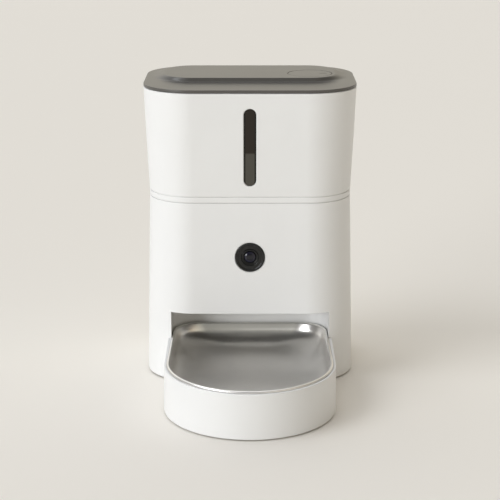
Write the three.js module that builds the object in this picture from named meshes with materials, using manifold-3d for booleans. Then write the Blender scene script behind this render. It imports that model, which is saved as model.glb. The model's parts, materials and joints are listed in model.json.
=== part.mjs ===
// A camera pet feeder: a hopper tank with a rotary portioner on a flared base,
// and a steel bowl in a D-shaped tray that slides out of the base's alcove.
// Millimetres, +Z up, -Y to the front, +X to the right as seen from the front, feet on z = 0.
import * as THREE from "three";
import { mergeVertices } from "three/addons/utils/BufferGeometryUtils.js";
import Module from "manifold-3d";

// Driving dimensions of the whole feeder
const bodyWidth = 220;
const bodyDepth = 165;
const bodyCornerRadius = 52;
const waistInset = 4.8; // how far every side draws in at the waist
const waistRise = 3.5; // from the base's top up to the waist
const waistEase = 1.1; // 1 gives straight flanks, more gives hollow ones
const baseHeight = 193.5;
const tankRise = 114.1; // from the base's top to the tank's top
const shellWall = 2.8;
const shellFoot = 1.6; // height of the shell's lower edge over the table
const seamGap = 0.7; // shadow line between two shells
const seamBandHeight = 5.6;
const edgeSoftening = 0.5;

// Fits, one value for each kind
const fit = 0.3; // touching pieces
const slip = 0.6; // pieces that move past each other
const overrun = 5; // how far a cutter passes the face it cuts
const boreReach = 40; // how far a round cutter runs behind the shell's face

// Lid
const lidGap = 0.4;
const lidRimHeight = 3;
const lidEdge = 0.6;
const lidWall = 2.4;
const lidRimInset = 4;
const deckRise = 4.2; // raised deck over the lid's rim
const deckSideMargin = 22; // from the body's outline to the deck
const deckFrontMargin = 54;
const deckRearMargin = 25;
const deckCornerShare = 0.65; // of the deck's half depth
const deckSkirtFront = 2.5; // run of the step in front
const deckSkirtSide = 16; // run of the soft slope at each side and behind
const skirtCornerShare = 0.81; // of the skirt's half depth

// Lock knob in the deck and its tongue under the liner
const knobRadius = 23;
const knobSideMargin = 25; // from the deck's side to the knob's middle
const knobFrontMargin = 30.5; // from the deck's front to the knob's middle
const knobThickness = 2;
const knobCupWall = 2.4;
const knobStemRadius = 7;
const tongueThickness = 4;
const tongueHalfWidth = 5;
const keeperHalfLength = 13;
const keeperHeight = 7;
const lockScrewRadius = 3.6;
const lockScrewHead = 2;
const lockScrewShank = 1.4;
const lockScrewDepth = 10;

// Liner pan under the lid, its gasket and the desiccant cup
const linerWall = 2;
const linerDepth = 10; // below the lid's lower edge
const linerClearance = 1.4; // to the hopper's mouth
const gasketHeight = 3;
const gasketThickness = 1.1;
const cupRadius = 35;
const cupSideMargin = 48; // from the deck's side to the cup's middle
const cupDepth = 14;
const cupWall = 2.4;
const cupCapThickness = 2.2;
const cupSlotCount = 6;
const cupSlotWidth = 3.4;
const cupSlotStart = 11;
const cupGripHeight = 3;
const cupGripWidth = 3;

// Hopper inside the tank
const hopperGap = 2; // between the tank shell and the hopper inside it
const hopperWall = 2.2;
const hopperFlange = 2.6;
const hopperTopGap = 0.8;
const funnelRise = 46.3; // from the chamber's top to the funnel's top
const ledgeHeight = 3;
const ledgeDepth = 1.7;

// Level window in the tank's front
const windowWidth = 12.8;
const windowFootMargin = 11.2; // from the tank's lower edge
const windowHeadMargin = 15.5; // from the tank's top
const windowLip = 2.4;
const windowLipThickness = 1.2;
const sightMargin = 1.6; // the hopper's sight slot is this much inside the window

// Tank floor with its portion chamber
const floorPlate = 2.5;
const chamberMargin = 24.5; // from the body's front to the chamber
const chamberWall = 2.2;
const chamberHeight = 17.9;
const chamberFloor = 2.4;
const outletInner = 26;
const outletRim = 2; // from the outlet to the chamber's wall
const outletAngle = Math.PI * 0.3;
const shaftHoleRadius = 8;

// Portion rotor, its stirrer and the shield over the outlet
const vaneCount = 6;
const vaneThickness = 2.4;
const hubRadius = 14;
const hubStubRadius = 6.5;
const hubRise = 8.3; // over the chamber
const stirrerClearance = 14; // from the fingers' tips to the chamber's wall
const stirrerBendShare = 0.8; // of the reach
const stirrerArm = 5;
const stirrerRise = 20;
const stirrerCount = 3;
const stirrerWall = 2;
const shieldThickness = 1.8;
const shieldAngle = Math.PI * 0.38;

// Drive: dog, gear pair, motor and the plate that carries them
const dogFlats = 10; // width across the flats of the hexagonal dog
const dogSides = 6;
const dogDepth = 12;
const shaftRadius = 4;
const gearModule = 1.25;
const gearTeeth = 30;
const pinionTeeth = 10;
const pressureAngle = Math.PI / 9;
const dedendumShare = 1.25; // of the module
const gearRimShare = 2.5; // of the module
const backlash = 0.3;
const gearWidth = 8;
const gearDrop = 12.5; // from the deck to the gears' upper faces
const gearWebRecess = 2;
const motorRadius = 12;
const motorLength = 34;
const motorShaftRadius = 1.2;
const motorBossRadius = 4;
const plateThickness = 2.5;
const platePostRadius = 4;
const plateEar = 12; // how far the plate runs past the gear on each side
const bushWall = 1.6;

// Deck on top of the base
const deckDrop = 8; // from the base's top to the deck
const deckPlate = 2.5;
const deckRingWall = 2.4;
const deckRingHeight = 6;

// Chute from the deck to the alcove
const chuteWall = 1.8;
const chuteFlange = 4;
const chuteTopHalfWidth = 27;
const chuteFootHalfWidth = 22;
const chuteMargin = 2.25; // round the outlet, in front and behind
const chuteLeanFront = 3; // how far the front wall leans forward
const chuteLeanRear = 8.5;
const chuteCorner = 4;

// Feeding alcove in the base's front
const alcoveSideMargin = 27.4; // from the body's side to the alcove
const alcoveHeight = 76;
const alcoveDepth = 58.5;
const alcoveCornerRadius = 29;
const alcoveWall = 2.2;

// Camera in the base's front
const cameraDrop = 57; // from the base's top to the lens
const bezelRadius = 15.1;
const bezelProud = 0.8;
const bezelDepth = 8;
const collarDepth = 8; // collars that hold the camera and the speaker
const bezelRim = 1.6;
const bezelDish = 0.9;
const barrelRadius = 8.6;
const barrelStepCount = 2;
const lensRadius = 4.6;
const lensCrown = 2.2;
const boardThickness = 1.6;
const cameraBoardWidth = 30;
const sensorWidth = 14;
const sensorDepth = 5;
const collarWall = 2.4;

// Speaker, power inlet and reset button in the base's back
const speakerDrop = 73.5; // from the base's top to the speaker
const speakerRadius = 20;
const speakerDepth = 12;
const speakerMagnetRadius = 10;
const speakerConeDepth = 4;
const speakerDomeRise = 1;
const grilleSlotCount = 5;
const grilleSlotWidth = 2.4;
const grillePitch = 6;
const grilleLength = 26;
const portInset = 18; // of the inlet and the button, from the ends of the flat back
const inletHeight = 22;
const inletRadius = 5.6;
const inletBore = 3.2;
const inletPin = 1;
const inletDepth = 13;
const buttonHeight = 22;
const buttonRadius = 4;
const buttonProud = 0.4;
const buttonTravel = 1.2;
const buttonFlange = 1.4;
const switchDepth = 7;
const cradleWall = 2;

// Underside: cover, battery box and door, feet and screws
const coverThickness = 2.6;
const coverBottom = 1.9;
const batteryHalfWidth = 54;
const batteryFrontGap = 9; // from the alcove to the cells
const batteryRearMargin = 33.5; // from the body's back to the cells
const batteryBoxHeight = 36;
const batteryWall = 2;
const batteryFlange = 5.6;
const doorMargin = 3.5;
const doorThickness = 2.2;
const doorRibHeight = 1.2;
const doorLatchHalfWidth = 9;
const doorLatchReach = 4;
const contactWidth = 12;
const contactThickness = 0.6;
const contactCone = 5;
const contactConeHeight = 3;
const contactHeight = 16;
const cellPitch = 34;
const footRadius = 7;
const footSeat = 1.2;
const frontFootSideMargin = 16;
const frontFootMargin = 32.5;
const rearFootSideMargin = 44;
const rearFootMargin = 20.5;
const screwHeadRadius = 3.2;
const screwHead = 1.8;
const screwShank = 1.5;
const screwLength = 14;
const postRadius = 4.5;
const postHeight = 40;
const sidePostShare = -0.17; // of the half depth

// Control board on top of the battery box
const boardHalfWidth = 40;
const boardFrontMargin = 4; // inside the battery box's front wall
const boardRearMargin = 7;
const boardPost = 3.5;
const boardPostRadius = 3;
const chipHalf = 8;
const capacitorHeight = 10.5;

// Tray and bowl
const traySideMargin = 23.4; // from the body's side to the tray
const trayReach = 70; // from the body's front to the middle of the tray's round end
const trayHeight = 47.2;
const traySeat = 46; // ledge that carries the bowl's bead
const trayWall = 2.6;
const trayFlange = 2.6;
const trayFoot = 1.3;
const trayDraft = 0.6;
const trayRearCorner = 28;
const trayShoulderSetback = 16; // in front of the alcove's back
const trayFloorThickness = 2.2;
const padRadius = 7;
const bowlSideGap = 3.1; // inside the tray's round end
const bowlAlcoveGap = 0.9; // at each side of the alcove
const bowlRearGap = 3.4; // in front of the alcove's back
const bowlCornerRadius = 28;
const bowlSheet = 0.8;
const bowlFloor = 28;
const beadRadius = 1.5;
const bowlFootInset = 4.2; // wall's lower end, inward from the rim
const bowlFootHeight = 44;
const bowlFloorInset = 21; // where the fillet meets the floor
const bowlCornerShare = 0.55; // how fast the rear corners sharpen with depth
const beadSweep = Math.PI * 1.5;

// Facets
const cornerSteps = 5;
const frontSteps = 16;
const bandCount = 2;
const roundSides = 20;
const smallSides = 10;
const arcSteps = 5; // a circle or an arc in an extruded outline has twice as many sides
const filletSteps = 4;
const bowlSteps = 5;
const beadSteps = 6;
const smallCornerSteps = 2;
const armSteps = 4;
const armSides = 4;
const weld = 1e-4; // vertices nearer than this are one

// Solids that can be joined and cut
const wasm = await Module();
wasm.setup();

function solid(geometry) {
  const bare = geometry.index ? geometry.toNonIndexed() : geometry;
  bare.deleteAttribute("normal");
  bare.deleteAttribute("uv");
  const merged = mergeVertices(bare, weld);
  return new wasm.Manifold(
    new wasm.Mesh({
      numProp: 3,
      vertProperties: merged.attributes.position.array,
      triVerts: new Uint32Array(merged.index.array),
    }),
  );
}

function join(first, ...others) {
  return others.reduce((whole, other) => whole.add(other), first);
}

function cut(first, ...others) {
  return others.reduce((whole, other) => whole.subtract(other), first);
}

function geometryOf(shape) {
  const mesh = shape.getMesh();
  const geometry = new THREE.BufferGeometry();
  geometry.setAttribute("position", new THREE.BufferAttribute(mesh.vertProperties, mesh.numProp));
  geometry.setIndex(new THREE.BufferAttribute(mesh.triVerts, 1));
  const faceted = geometry.toNonIndexed();
  faceted.computeVertexNormals();
  return faceted;
}

function box(minX, maxX, minY, maxY, minZ, maxZ) {
  const geometry = new THREE.BoxGeometry(maxX - minX, maxY - minY, maxZ - minZ);
  geometry.translate((minX + maxX) / 2, (minY + maxY) / 2, (minZ + maxZ) / 2);
  return solid(geometry);
}

function rod(radius, minZ, maxZ, x = 0, y = 0, sides = smallSides) {
  const geometry = new THREE.CylinderGeometry(radius, radius, maxZ - minZ, sides);
  geometry.rotateX(Math.PI / 2);
  geometry.translate(x, y, (minZ + maxZ) / 2);
  return solid(geometry);
}

// A revolved solid about Z, from [radius, height] points listed from the bottom of the axis to its top
function turned(profile, sides = roundSides) {
  const points = profile.map(([radius, height]) => new THREE.Vector2(radius, height));
  return solid(new THREE.LatheGeometry(points, sides).rotateX(Math.PI / 2));
}

function prism(shape, minZ, maxZ) {
  const geometry = new THREE.ExtrudeGeometry(shape, {
    depth: maxZ - minZ,
    bevelEnabled: false,
    curveSegments: arcSteps,
  });
  return solid(geometry.translate(0, 0, minZ));
}

// A closed solid through rings of equal length, each listed counterclockwise as seen from above
function loft(rings) {
  const count = rings[0].length;
  const positions = rings.flat().flatMap((point) => [point.x, point.y, point.z]);
  const faces = [];
  for (let level = 0; level + 1 < rings.length; level++) {
    for (let index = 0; index < count; index++) {
      const next = (index + 1) % count;
      const low = level * count;
      const high = low + count;
      faces.push(low + index, low + next, high + index);
      faces.push(low + next, high + next, high + index);
    }
  }
  for (const [ring, turn] of [
    [0, -1],
    [rings.length - 1, 1],
  ]) {
    const centre = rings[ring].reduce((sum, point) => sum.add(point), new THREE.Vector3());
    centre.divideScalar(count);
    positions.push(centre.x, centre.y, centre.z);
    const hub = positions.length / 3 - 1;
    for (let index = 0; index < count; index++) {
      const here = ring * count + index;
      const next = ring * count + ((index + 1) % count);
      faces.push(hub, turn > 0 ? here : next, turn > 0 ? next : here);
    }
  }
  const geometry = new THREE.BufferGeometry();
  geometry.setAttribute("position", new THREE.Float32BufferAttribute(positions, 3));
  geometry.setIndex(faces);
  return solid(geometry);
}

function arc(points, x, y, z, radius, start, sweep, steps) {
  for (let step = 0; step <= steps; step++) {
    const angle = start + (sweep * step) / steps;
    points.push(new THREE.Vector3(x + radius * Math.cos(angle), y + radius * Math.sin(angle), z));
  }
}

// A rounded rectangle at height z, drawn in by inset
function ring(outline, z, inset = 0, steps = cornerSteps) {
  const { halfWidth, halfDepth, radius, x = 0, y = 0 } = outline;
  const corner = Math.max(radius - inset, edgeSoftening);
  const reachX = halfWidth - inset - corner;
  const reachY = halfDepth - inset - corner;
  const quarter = Math.PI / 2;
  const points = [];
  arc(points, x + reachX, y + reachY, z, corner, 0, quarter, steps);
  arc(points, x - reachX, y + reachY, z, corner, quarter, quarter, steps);
  arc(points, x - reachX, y - reachY, z, corner, 2 * quarter, quarter, steps);
  arc(points, x + reachX, y - reachY, z, corner, 3 * quarter, quarter, steps);
  return points;
}

function block(outline, minZ, maxZ, inset = 0, steps = cornerSteps) {
  return loft([ring(outline, minZ, inset, steps), ring(outline, maxZ, inset, steps)]);
}

// A D seen from above: a round front, straight sides and a rounded rear
function dRing(outline, z, inset = 0, cornerShare = 1) {
  const { radius, rearHalfWidth, arcY, rearY, corner } = outline;
  const rearCorner = Math.max(corner - inset * cornerShare, edgeSoftening);
  const reachX = rearHalfWidth - inset - rearCorner;
  const reachY = rearY - inset - rearCorner;
  const points = [];
  arc(points, reachX, reachY, z, rearCorner, 0, Math.PI / 2, cornerSteps);
  arc(points, -reachX, reachY, z, rearCorner, Math.PI / 2, Math.PI / 2, cornerSteps);
  arc(points, 0, arcY, z, radius - inset, Math.PI, Math.PI, frontSteps);
  return points;
}

function dBlock(outline, minZ, maxZ, inset = 0) {
  return loft([dRing(outline, minZ, inset), dRing(outline, maxZ, inset)]);
}

// The flared body, narrowest at the waist
function drawnIn(z) {
  const share = z < waistHeight ? z / waistHeight : (tankTop - z) / (tankTop - waistHeight);
  return waistInset * Math.max(share, 0) ** waistEase;
}

const waistHeight = baseHeight + waistRise;
const tankTop = baseHeight + tankRise;
const halfWidth = bodyWidth / 2;
const halfDepth = bodyDepth / 2;
const bodyOutline = { halfWidth, halfDepth, radius: bodyCornerRadius };

function bodyRing(z, inset = 0) {
  return ring(bodyOutline, z, drawnIn(z) + inset);
}

function bodyBlock(minZ, maxZ, inset = 0) {
  const rings = [];
  for (let band = 0; band <= bandCount; band++) {
    rings.push(bodyRing(minZ + ((maxZ - minZ) * band) / bandCount, inset));
  }
  return loft(rings);
}

// A short stretch of the body, straight from its lower ring to its upper one
function bodySlab(minZ, maxZ, inset) {
  return loft([bodyRing(minZ, inset), bodyRing(maxZ, inset)]);
}

// The same block with its outer edges broken by a small chamfer
function softBody(minZ, maxZ) {
  const rings = [bodyRing(minZ, edgeSoftening)];
  const low = minZ + edgeSoftening;
  const high = maxZ - edgeSoftening;
  for (let band = 0; band <= bandCount; band++) {
    rings.push(bodyRing(low + ((high - low) * band) / bandCount));
  }
  rings.push(bodyRing(maxZ, edgeSoftening));
  return loft(rings);
}

function bodyFaceY(z) {
  return halfDepth - drawnIn(z);
}

// Finishes
function finish(color, roughness, metalness = 0) {
  return { color, roughness, metalness };
}

const finishes = {
  whiteShell: finish(0xecebe7, 0.42),
  innerWhite: finish(0xdedcd6, 0.5),
  greyLid: finish(0x75736b, 0.45),
  darkSeal: finish(0x2b2b2a, 0.8),
  smokedWindow: finish(0x332e28, 0.12),
  blackTrim: finish(0x1c1c1b, 0.3),
  lensGlass: finish(0x26344a, 0.05),
  brushedSteel: finish(0xa3a19c, 0.3, 1),
  plainSteel: finish(0xb4b5b6, 0.35, 1),
  gearPlastic: finish(0xd8d2c0, 0.5),
  stirrerGreen: finish(0x8fb0a8, 0.6),
  board: finish(0x1f5a3c, 0.5),
  rubber: finish(0x3a3a38, 0.9),
};

const feeder = new THREE.Group();

function group(parent, x = 0, y = 0, z = 0) {
  const made = new THREE.Group();
  made.position.set(x, y, z);
  parent.add(made);
  return made;
}

function piece(parent, name, shape, look) {
  const mesh = new THREE.Mesh(geometryOf(shape), new THREE.MeshStandardMaterial(look));
  mesh.name = name;
  parent.add(mesh);
  return mesh;
}

const base = group(feeder);
const tank = group(feeder);
const lid = group(feeder);
const tray = group(feeder);
const bowl = group(feeder);

// Heights and levels that several pieces share
const bandLow = baseHeight + seamGap;
const bandHigh = bandLow + seamBandHeight;
const tankLow = bandHigh + seamGap;
const lidLow = tankTop + lidGap;
const lidRimTop = lidLow + lidRimHeight;
const deckLevel = lidRimTop + deckRise;
const coverTop = coverBottom + coverThickness;
const innerInset = shellWall + fit;
const hopperInset = shellWall + hopperGap;
const deckTop = baseHeight - deckDrop;
const chamberBottom = deckTop + fit;
const chamberTop = chamberBottom + chamberHeight;
const funnelTop = chamberTop + funnelRise;

// Places that several pieces share
const chamberRadius = halfDepth - chamberMargin;
const outletOuter = chamberRadius - outletRim;
const alcoveHalfWidth = halfWidth - alcoveSideMargin;
const alcoveRearY = alcoveDepth - halfDepth;
const batteryFrontY = alcoveRearY + batteryFrontGap;
const batteryRearY = halfDepth - batteryRearMargin;
const inletX = halfWidth - bodyCornerRadius - portInset;
const buttonX = -inletX;
const cameraHeight = baseHeight - cameraDrop;
const speakerHeight = baseHeight - speakerDrop;
const deckHalfWidth = halfWidth - deckSideMargin;
const deckFrontY = deckFrontMargin - halfDepth;
const deckRearY = halfDepth - deckRearMargin;
const knobX = deckHalfWidth - knobSideMargin;
const knobY = deckFrontY + knobFrontMargin;
const trayRadius = halfWidth - traySideMargin;
const trayArcY = -halfDepth - trayReach;

const alcoveOutline = {
  halfWidth: alcoveHalfWidth,
  halfDepth: (alcoveRearY + bodyDepth) / 2,
  radius: alcoveCornerRadius,
  y: (alcoveRearY - bodyDepth) / 2,
};

function alcoveBlock(minZ, maxZ, growth = 0) {
  return block(alcoveOutline, minZ, maxZ, -growth);
}

// Screw posts stand against the shell's inner face
const rearPostReach = bodyCornerRadius - shellWall - postRadius;
const postPlaces = [-1, 1].flatMap((side) => [
  [side * (halfWidth - shellWall - postRadius + slip), halfDepth * sidePostShare],
  [
    side * (halfWidth - bodyCornerRadius + rearPostReach * Math.SQRT1_2),
    halfDepth - bodyCornerRadius + rearPostReach * Math.SQRT1_2,
  ],
]);
const footPlaces = [-1, 1].flatMap((side) => [
  [side * (halfWidth - frontFootSideMargin), frontFootMargin - halfDepth],
  [side * (halfWidth - rearFootSideMargin), halfDepth - rearFootMargin],
]);

// A round tool pointing out of the front (side -1) or the back (side 1) of the base
function facing(shape, side, x, z, y) {
  const geometry = geometryOf(shape);
  geometry.rotateX((-side * Math.PI) / 2);
  geometry.translate(x, y, z);
  return solid(geometry);
}

const cameraFaceY = -bodyFaceY(cameraHeight);
const speakerFaceY = bodyFaceY(speakerHeight);
const inletFaceY = bodyFaceY(inletHeight);
const buttonFaceY = bodyFaceY(buttonHeight);
const switchFace = -shellWall - slip - buttonFlange - buttonTravel - fit;
const switchHalf = buttonRadius + buttonFlange;

// The base's shell, open below and above, with its alcove, camera collar, grille and posts
function baseShell() {
  let shell = cut(softBody(shellFoot, baseHeight), bodyBlock(-overrun, baseHeight + overrun, shellWall));
  const ledgeTop = deckTop - deckPlate - fit;
  const ledge = cut(
    bodySlab(ledgeTop - ledgeHeight, ledgeTop, shellWall / 2),
    bodySlab(ledgeTop - overrun, ledgeTop + overrun, shellWall + ledgeHeight),
  );
  const inside = bodyBlock(shellFoot, baseHeight, shellWall / 2);
  const cameraCollar = facing(
    rod(bezelRadius + slip + collarWall, -collarDepth, 0, 0, 0, roundSides),
    -1,
    0,
    cameraHeight,
    cameraFaceY,
  ).intersect(inside);
  const speakerCollar = facing(
    rod(speakerRadius + fit + collarWall, -collarDepth, 0, 0, 0, roundSides),
    1,
    0,
    speakerHeight,
    speakerFaceY,
  ).intersect(inside);
  const cradleHalf = switchHalf + fit + cradleWall;
  const cradle = facing(
    box(-cradleHalf, cradleHalf, -cradleHalf, cradleHalf, switchFace - switchDepth, 0),
    1,
    buttonX,
    buttonHeight,
    buttonFaceY,
  ).intersect(inside);
  shell = join(shell, ledge, cameraCollar, speakerCollar, cradle);
  for (const [x, y] of postPlaces) {
    const post = rod(postRadius, coverTop + fit, postHeight, x, y).intersect(inside);
    shell = cut(join(shell, post), rod(screwShank + fit, -overrun, coverTop + screwLength + fit, x, y));
  }
  const cameraHole = rod(bezelRadius + fit, -boreReach, overrun, 0, 0, roundSides);
  const speakerSeat = rod(speakerRadius + fit, -boreReach, -shellWall - fit, 0, 0, roundSides);
  const switchSeatHalf = switchHalf + fit;
  const switchSeat = box(
    -switchSeatHalf,
    switchSeatHalf,
    -switchSeatHalf,
    switchSeatHalf,
    -boreReach,
    -shellWall - fit,
  );
  shell = cut(
    shell,
    alcoveBlock(-overrun, alcoveHeight),
    facing(cameraHole, -1, 0, cameraHeight, cameraFaceY),
    facing(speakerSeat, 1, 0, speakerHeight, speakerFaceY),
    facing(switchSeat, 1, buttonX, buttonHeight, buttonFaceY),
    facing(rod(inletRadius + fit, -boreReach, overrun), 1, inletX, inletHeight, inletFaceY),
    facing(rod(buttonRadius + fit, -boreReach, overrun), 1, buttonX, buttonHeight, buttonFaceY),
  );
  for (let slot = 0; slot < grilleSlotCount; slot++) {
    const level = speakerHeight + (slot - (grilleSlotCount - 1) / 2) * grillePitch;
    const half = grilleSlotWidth / 2;
    const run = grilleLength / 2;
    shell = cut(shell, box(-run, run, boreReach, bodyDepth, level - half, level + half));
  }
  return shell;
}

piece(base, "base_shell", baseShell(), finishes.whiteShell);

function alcoveLiner() {
  const outer = alcoveBlock(coverTop + fit, alcoveHeight + alcoveWall, alcoveWall);
  const hollow = alcoveBlock(-overrun, alcoveHeight);
  const inside = bodyBlock(shellFoot, baseHeight, innerInset);
  return cut(outer.intersect(inside), hollow, chuteBlock(-fit, alcoveHeight - overrun, deckTop));
}

// The chute's passage grown by a wall; it leans forward as it drops
const chuteTopFrontY = -outletOuter - chuteMargin;
const chuteTopRearY = chuteMargin - outletInner;

function chuteRing(z, growth) {
  const foot = alcoveHeight + alcoveWall;
  const share = (z - foot) / (deckTop - foot);
  const between = (low, high) => low + (high - low) * share;
  const front = between(chuteTopFrontY - chuteLeanFront, chuteTopFrontY);
  const rear = between(chuteTopRearY - chuteLeanRear, chuteTopRearY);
  const outline = {
    halfWidth: between(chuteFootHalfWidth, chuteTopHalfWidth),
    halfDepth: (rear - front) / 2,
    radius: chuteCorner,
    y: (rear + front) / 2,
  };
  return ring(outline, z, -growth, smallCornerSteps);
}

function chuteBlock(growth, minZ, maxZ) {
  return loft([chuteRing(minZ, growth), chuteRing(maxZ, growth)]);
}

piece(base, "alcove_liner", alcoveLiner(), finishes.innerWhite);

const chuteTop = deckTop - deckPlate - fit;
const chuteLow = alcoveHeight + alcoveWall + fit;
piece(
  base,
  "food_chute",
  cut(
    join(
      chuteBlock(chuteWall, chuteLow, chuteTop),
      chuteBlock(chuteWall + chuteFlange, chuteTop - chuteWall, chuteTop).intersect(
        box(-bodyWidth, bodyWidth, -bodyDepth, chuteTopRearY + chuteWall, 0, tankTop),
      ),
      chuteBlock(chuteWall + chuteFlange, chuteLow, chuteLow + chuteWall),
    ),
    chuteBlock(0, chuteLow - overrun, chuteTop + overrun),
  ),
  finishes.innerWhite,
);

// Deck: a plate inside the shell with a ring that centres the tank
function sector(inner, outer, angle) {
  const shape = new THREE.Shape();
  const start = -Math.PI / 2 - angle / 2;
  shape.absarc(0, 0, outer, start, start + angle, false);
  shape.absarc(0, 0, inner, start + angle, start, true);
  shape.closePath();
  return shape;
}

const ringInner = chamberRadius + chamberWall + slip;
const deckHoleRadius = shaftRadius + bushWall + fit;
const deckUnder = deckTop - deckPlate;
const pinionY = (gearModule * (gearTeeth + pinionTeeth)) / 2;
const gearTop = deckTop - gearDrop;
const gearLow = gearTop - gearWidth;
const plateTop = gearLow - gearWebRecess - fit;
const plateLow = plateTop - plateThickness;
const plateOutline = {
  halfWidth: (gearModule * gearTeeth) / 2 + plateEar,
  halfDepth: pinionY / 2 + motorRadius + platePostRadius,
  radius: motorRadius,
  y: pinionY / 2 + platePostRadius,
};
const platePosts = [
  [platePostRadius - plateOutline.halfWidth, 0],
  [plateOutline.halfWidth - platePostRadius, 0],
  [0, plateOutline.y + plateOutline.halfDepth - platePostRadius],
];

function baseDeck() {
  const plate = bodySlab(deckUnder, deckTop, innerInset);
  const locator = cut(
    rod(ringInner + deckRingWall, deckUnder, deckTop + deckRingHeight, 0, 0, roundSides),
    rod(ringInner, deckTop, baseHeight + overrun, 0, 0, roundSides),
  );
  const posts = platePosts.map(([x, y]) => rod(platePostRadius, plateTop + fit, deckTop, x, y));
  return cut(
    join(plate, locator, ...posts),
    prism(sector(outletInner, outletOuter, outletAngle), deckUnder - overrun, baseHeight),
    rod(deckHoleRadius, deckUnder - overrun, baseHeight),
  );
}

piece(base, "base_deck", baseDeck(), finishes.innerWhite);

// Gear pair: involute flanks sampled at a few radii
function involute(angle) {
  return Math.tan(angle) - angle;
}

function gearShape(teeth, bore, phase) {
  const pitchRadius = (gearModule * teeth) / 2;
  const baseRadius = pitchRadius * Math.cos(pressureAngle);
  const tipRadius = pitchRadius + gearModule - backlash / 2;
  const rootRadius = pitchRadius - gearModule * dedendumShare;
  const radii = [rootRadius, pitchRadius, tipRadius];
  const halfAtPitch = (Math.PI * gearModule) / 2 / 2 / pitchRadius - backlash / 2 / pitchRadius;
  const halfAngle = (radius) => {
    const at = Math.acos(Math.min(baseRadius / radius, 1));
    return halfAtPitch + involute(pressureAngle) - involute(at);
  };
  const points = [];
  for (let tooth = 0; tooth < teeth; tooth++) {
    const centre = phase + (2 * Math.PI * tooth) / teeth;
    const flank = (side, list) =>
      list.forEach((radius) => {
        const angle = centre + side * halfAngle(radius);
        points.push(new THREE.Vector2(radius * Math.cos(angle), radius * Math.sin(angle)));
      });
    flank(-1, radii);
    flank(1, [...radii].reverse());
  }
  const shape = new THREE.Shape(points);
  const hole = new THREE.Path();
  hole.absarc(0, 0, bore, 0, Math.PI * 2, true);
  shape.holes.push(hole);
  return shape;
}

function hexagon(flats) {
  const radius = flats / 2 / Math.cos(Math.PI / dogSides);
  const points = [];
  for (let corner = 0; corner < dogSides; corner++) {
    const angle = (2 * Math.PI * corner) / dogSides;
    points.push(new THREE.Vector2(radius * Math.cos(angle), radius * Math.sin(angle)));
  }
  return new THREE.Shape(points);
}

const rotorLow = chamberBottom + chamberFloor + slip;
const dogTop = rotorLow + dogDepth - slip;
const drive = group(base, 0, 0, gearLow);
const gearRimInner = (gearModule * gearTeeth) / 2 - gearModule * gearRimShare;
const driveGear = cut(
  prism(gearShape(gearTeeth, shaftRadius + fit, Math.PI / 2), 0, gearWidth),
  cut(
    rod(gearRimInner, gearWidth - gearWebRecess, gearWidth + overrun, 0, 0, roundSides),
    rod(shaftRadius + fit + bushWall, 0, gearWidth + overrun, 0, 0, roundSides),
  ),
);
piece(drive, "drive_gear", driveGear, finishes.gearPlastic);
const shaftShoulder = shaftRadius + bushWall;
piece(
  drive,
  "drive_shaft",
  join(
    rod(shaftRadius, plateLow - gearLow, deckTop - gearLow),
    rod(shaftShoulder, gearWidth + fit, gearWidth + fit + bushWall),
    prism(hexagon(dogFlats), deckTop + fit - gearLow, dogTop - gearLow),
    rod(shaftRadius, deckTop - overrun - gearLow, dogTop - gearLow - fit),
  ),
  finishes.plainSteel,
);
piece(
  base,
  "shaft_bush",
  cut(
    join(
      rod(deckHoleRadius - fit, deckUnder - bushWall - fit, deckTop),
      rod(deckHoleRadius + bushWall, deckUnder - bushWall - fit, deckUnder - fit),
    ),
    rod(shaftRadius + fit, 0, tankTop),
  ),
  finishes.gearPlastic,
);

const pinion = group(base, 0, pinionY, gearLow);
piece(
  pinion,
  "motor_pinion",
  join(
    prism(gearShape(pinionTeeth, motorShaftRadius / 2, Math.PI / pinionTeeth - Math.PI / 2), 0, gearWidth),
    rod(motorShaftRadius, plateLow - gearLow, gearWidth / 2),
    rod(motorShaftRadius, 0, gearWidth),
  ),
  finishes.plainSteel,
);

piece(
  base,
  "gear_plate",
  cut(
    block(plateOutline, plateLow, plateTop),
    rod(shaftRadius + fit, 0, tankTop),
    rod(motorShaftRadius + slip, 0, tankTop, 0, pinionY),
  ),
  finishes.plainSteel,
);
const motorTop = plateLow - fit;
piece(
  base,
  "drive_motor",
  cut(
    join(
      rod(motorRadius, motorTop - motorLength, motorTop, 0, pinionY, roundSides),
      rod(motorBossRadius, motorTop - motorLength - motorShaftRadius, motorTop, 0, pinionY),
    ),
    rod(motorShaftRadius + fit, motorTop - motorShaftRadius, motorTop + overrun, 0, pinionY),
  ),
  finishes.plainSteel,
);

// Camera, modelled along +Z in a group that faces the front
const camera = group(base, 0, cameraFaceY, cameraHeight);
camera.rotation.x = Math.PI / 2;
const dishRadius = bezelRadius - bezelRim;
const bezelFace = bezelProud - bezelDish;
piece(
  camera,
  "camera_bezel",
  cut(
    turned([
      [0, -bezelDepth],
      [bezelRadius, -bezelDepth],
      [bezelRadius, bezelProud - edgeSoftening],
      [bezelRadius - edgeSoftening, bezelProud],
      [dishRadius, bezelProud],
      [dishRadius - bezelDish, bezelFace],
      [0, bezelFace],
    ]),
    rod(barrelRadius + fit, -bezelDepth - overrun, overrun, 0, 0, roundSides),
  ),
  finishes.blackTrim,
);
const barrelStep = (barrelRadius - lensRadius - fit) / (barrelStepCount + 1);
const barrelProfile = [[0, -bezelDepth]];
barrelProfile.push([barrelRadius, -bezelDepth], [barrelRadius, bezelFace]);
for (let step = 1; step <= barrelStepCount; step++) {
  const level = bezelFace - ((step - 1) * lensCrown) / barrelStepCount;
  barrelProfile.push([barrelRadius - step * barrelStep, level]);
  barrelProfile.push([barrelRadius - step * barrelStep, level - lensCrown / barrelStepCount]);
}
const lensSeat = bezelFace - lensCrown - fit;
barrelProfile.push([lensRadius + fit, bezelFace - lensCrown], [lensRadius + fit, lensSeat - lensCrown]);
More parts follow.
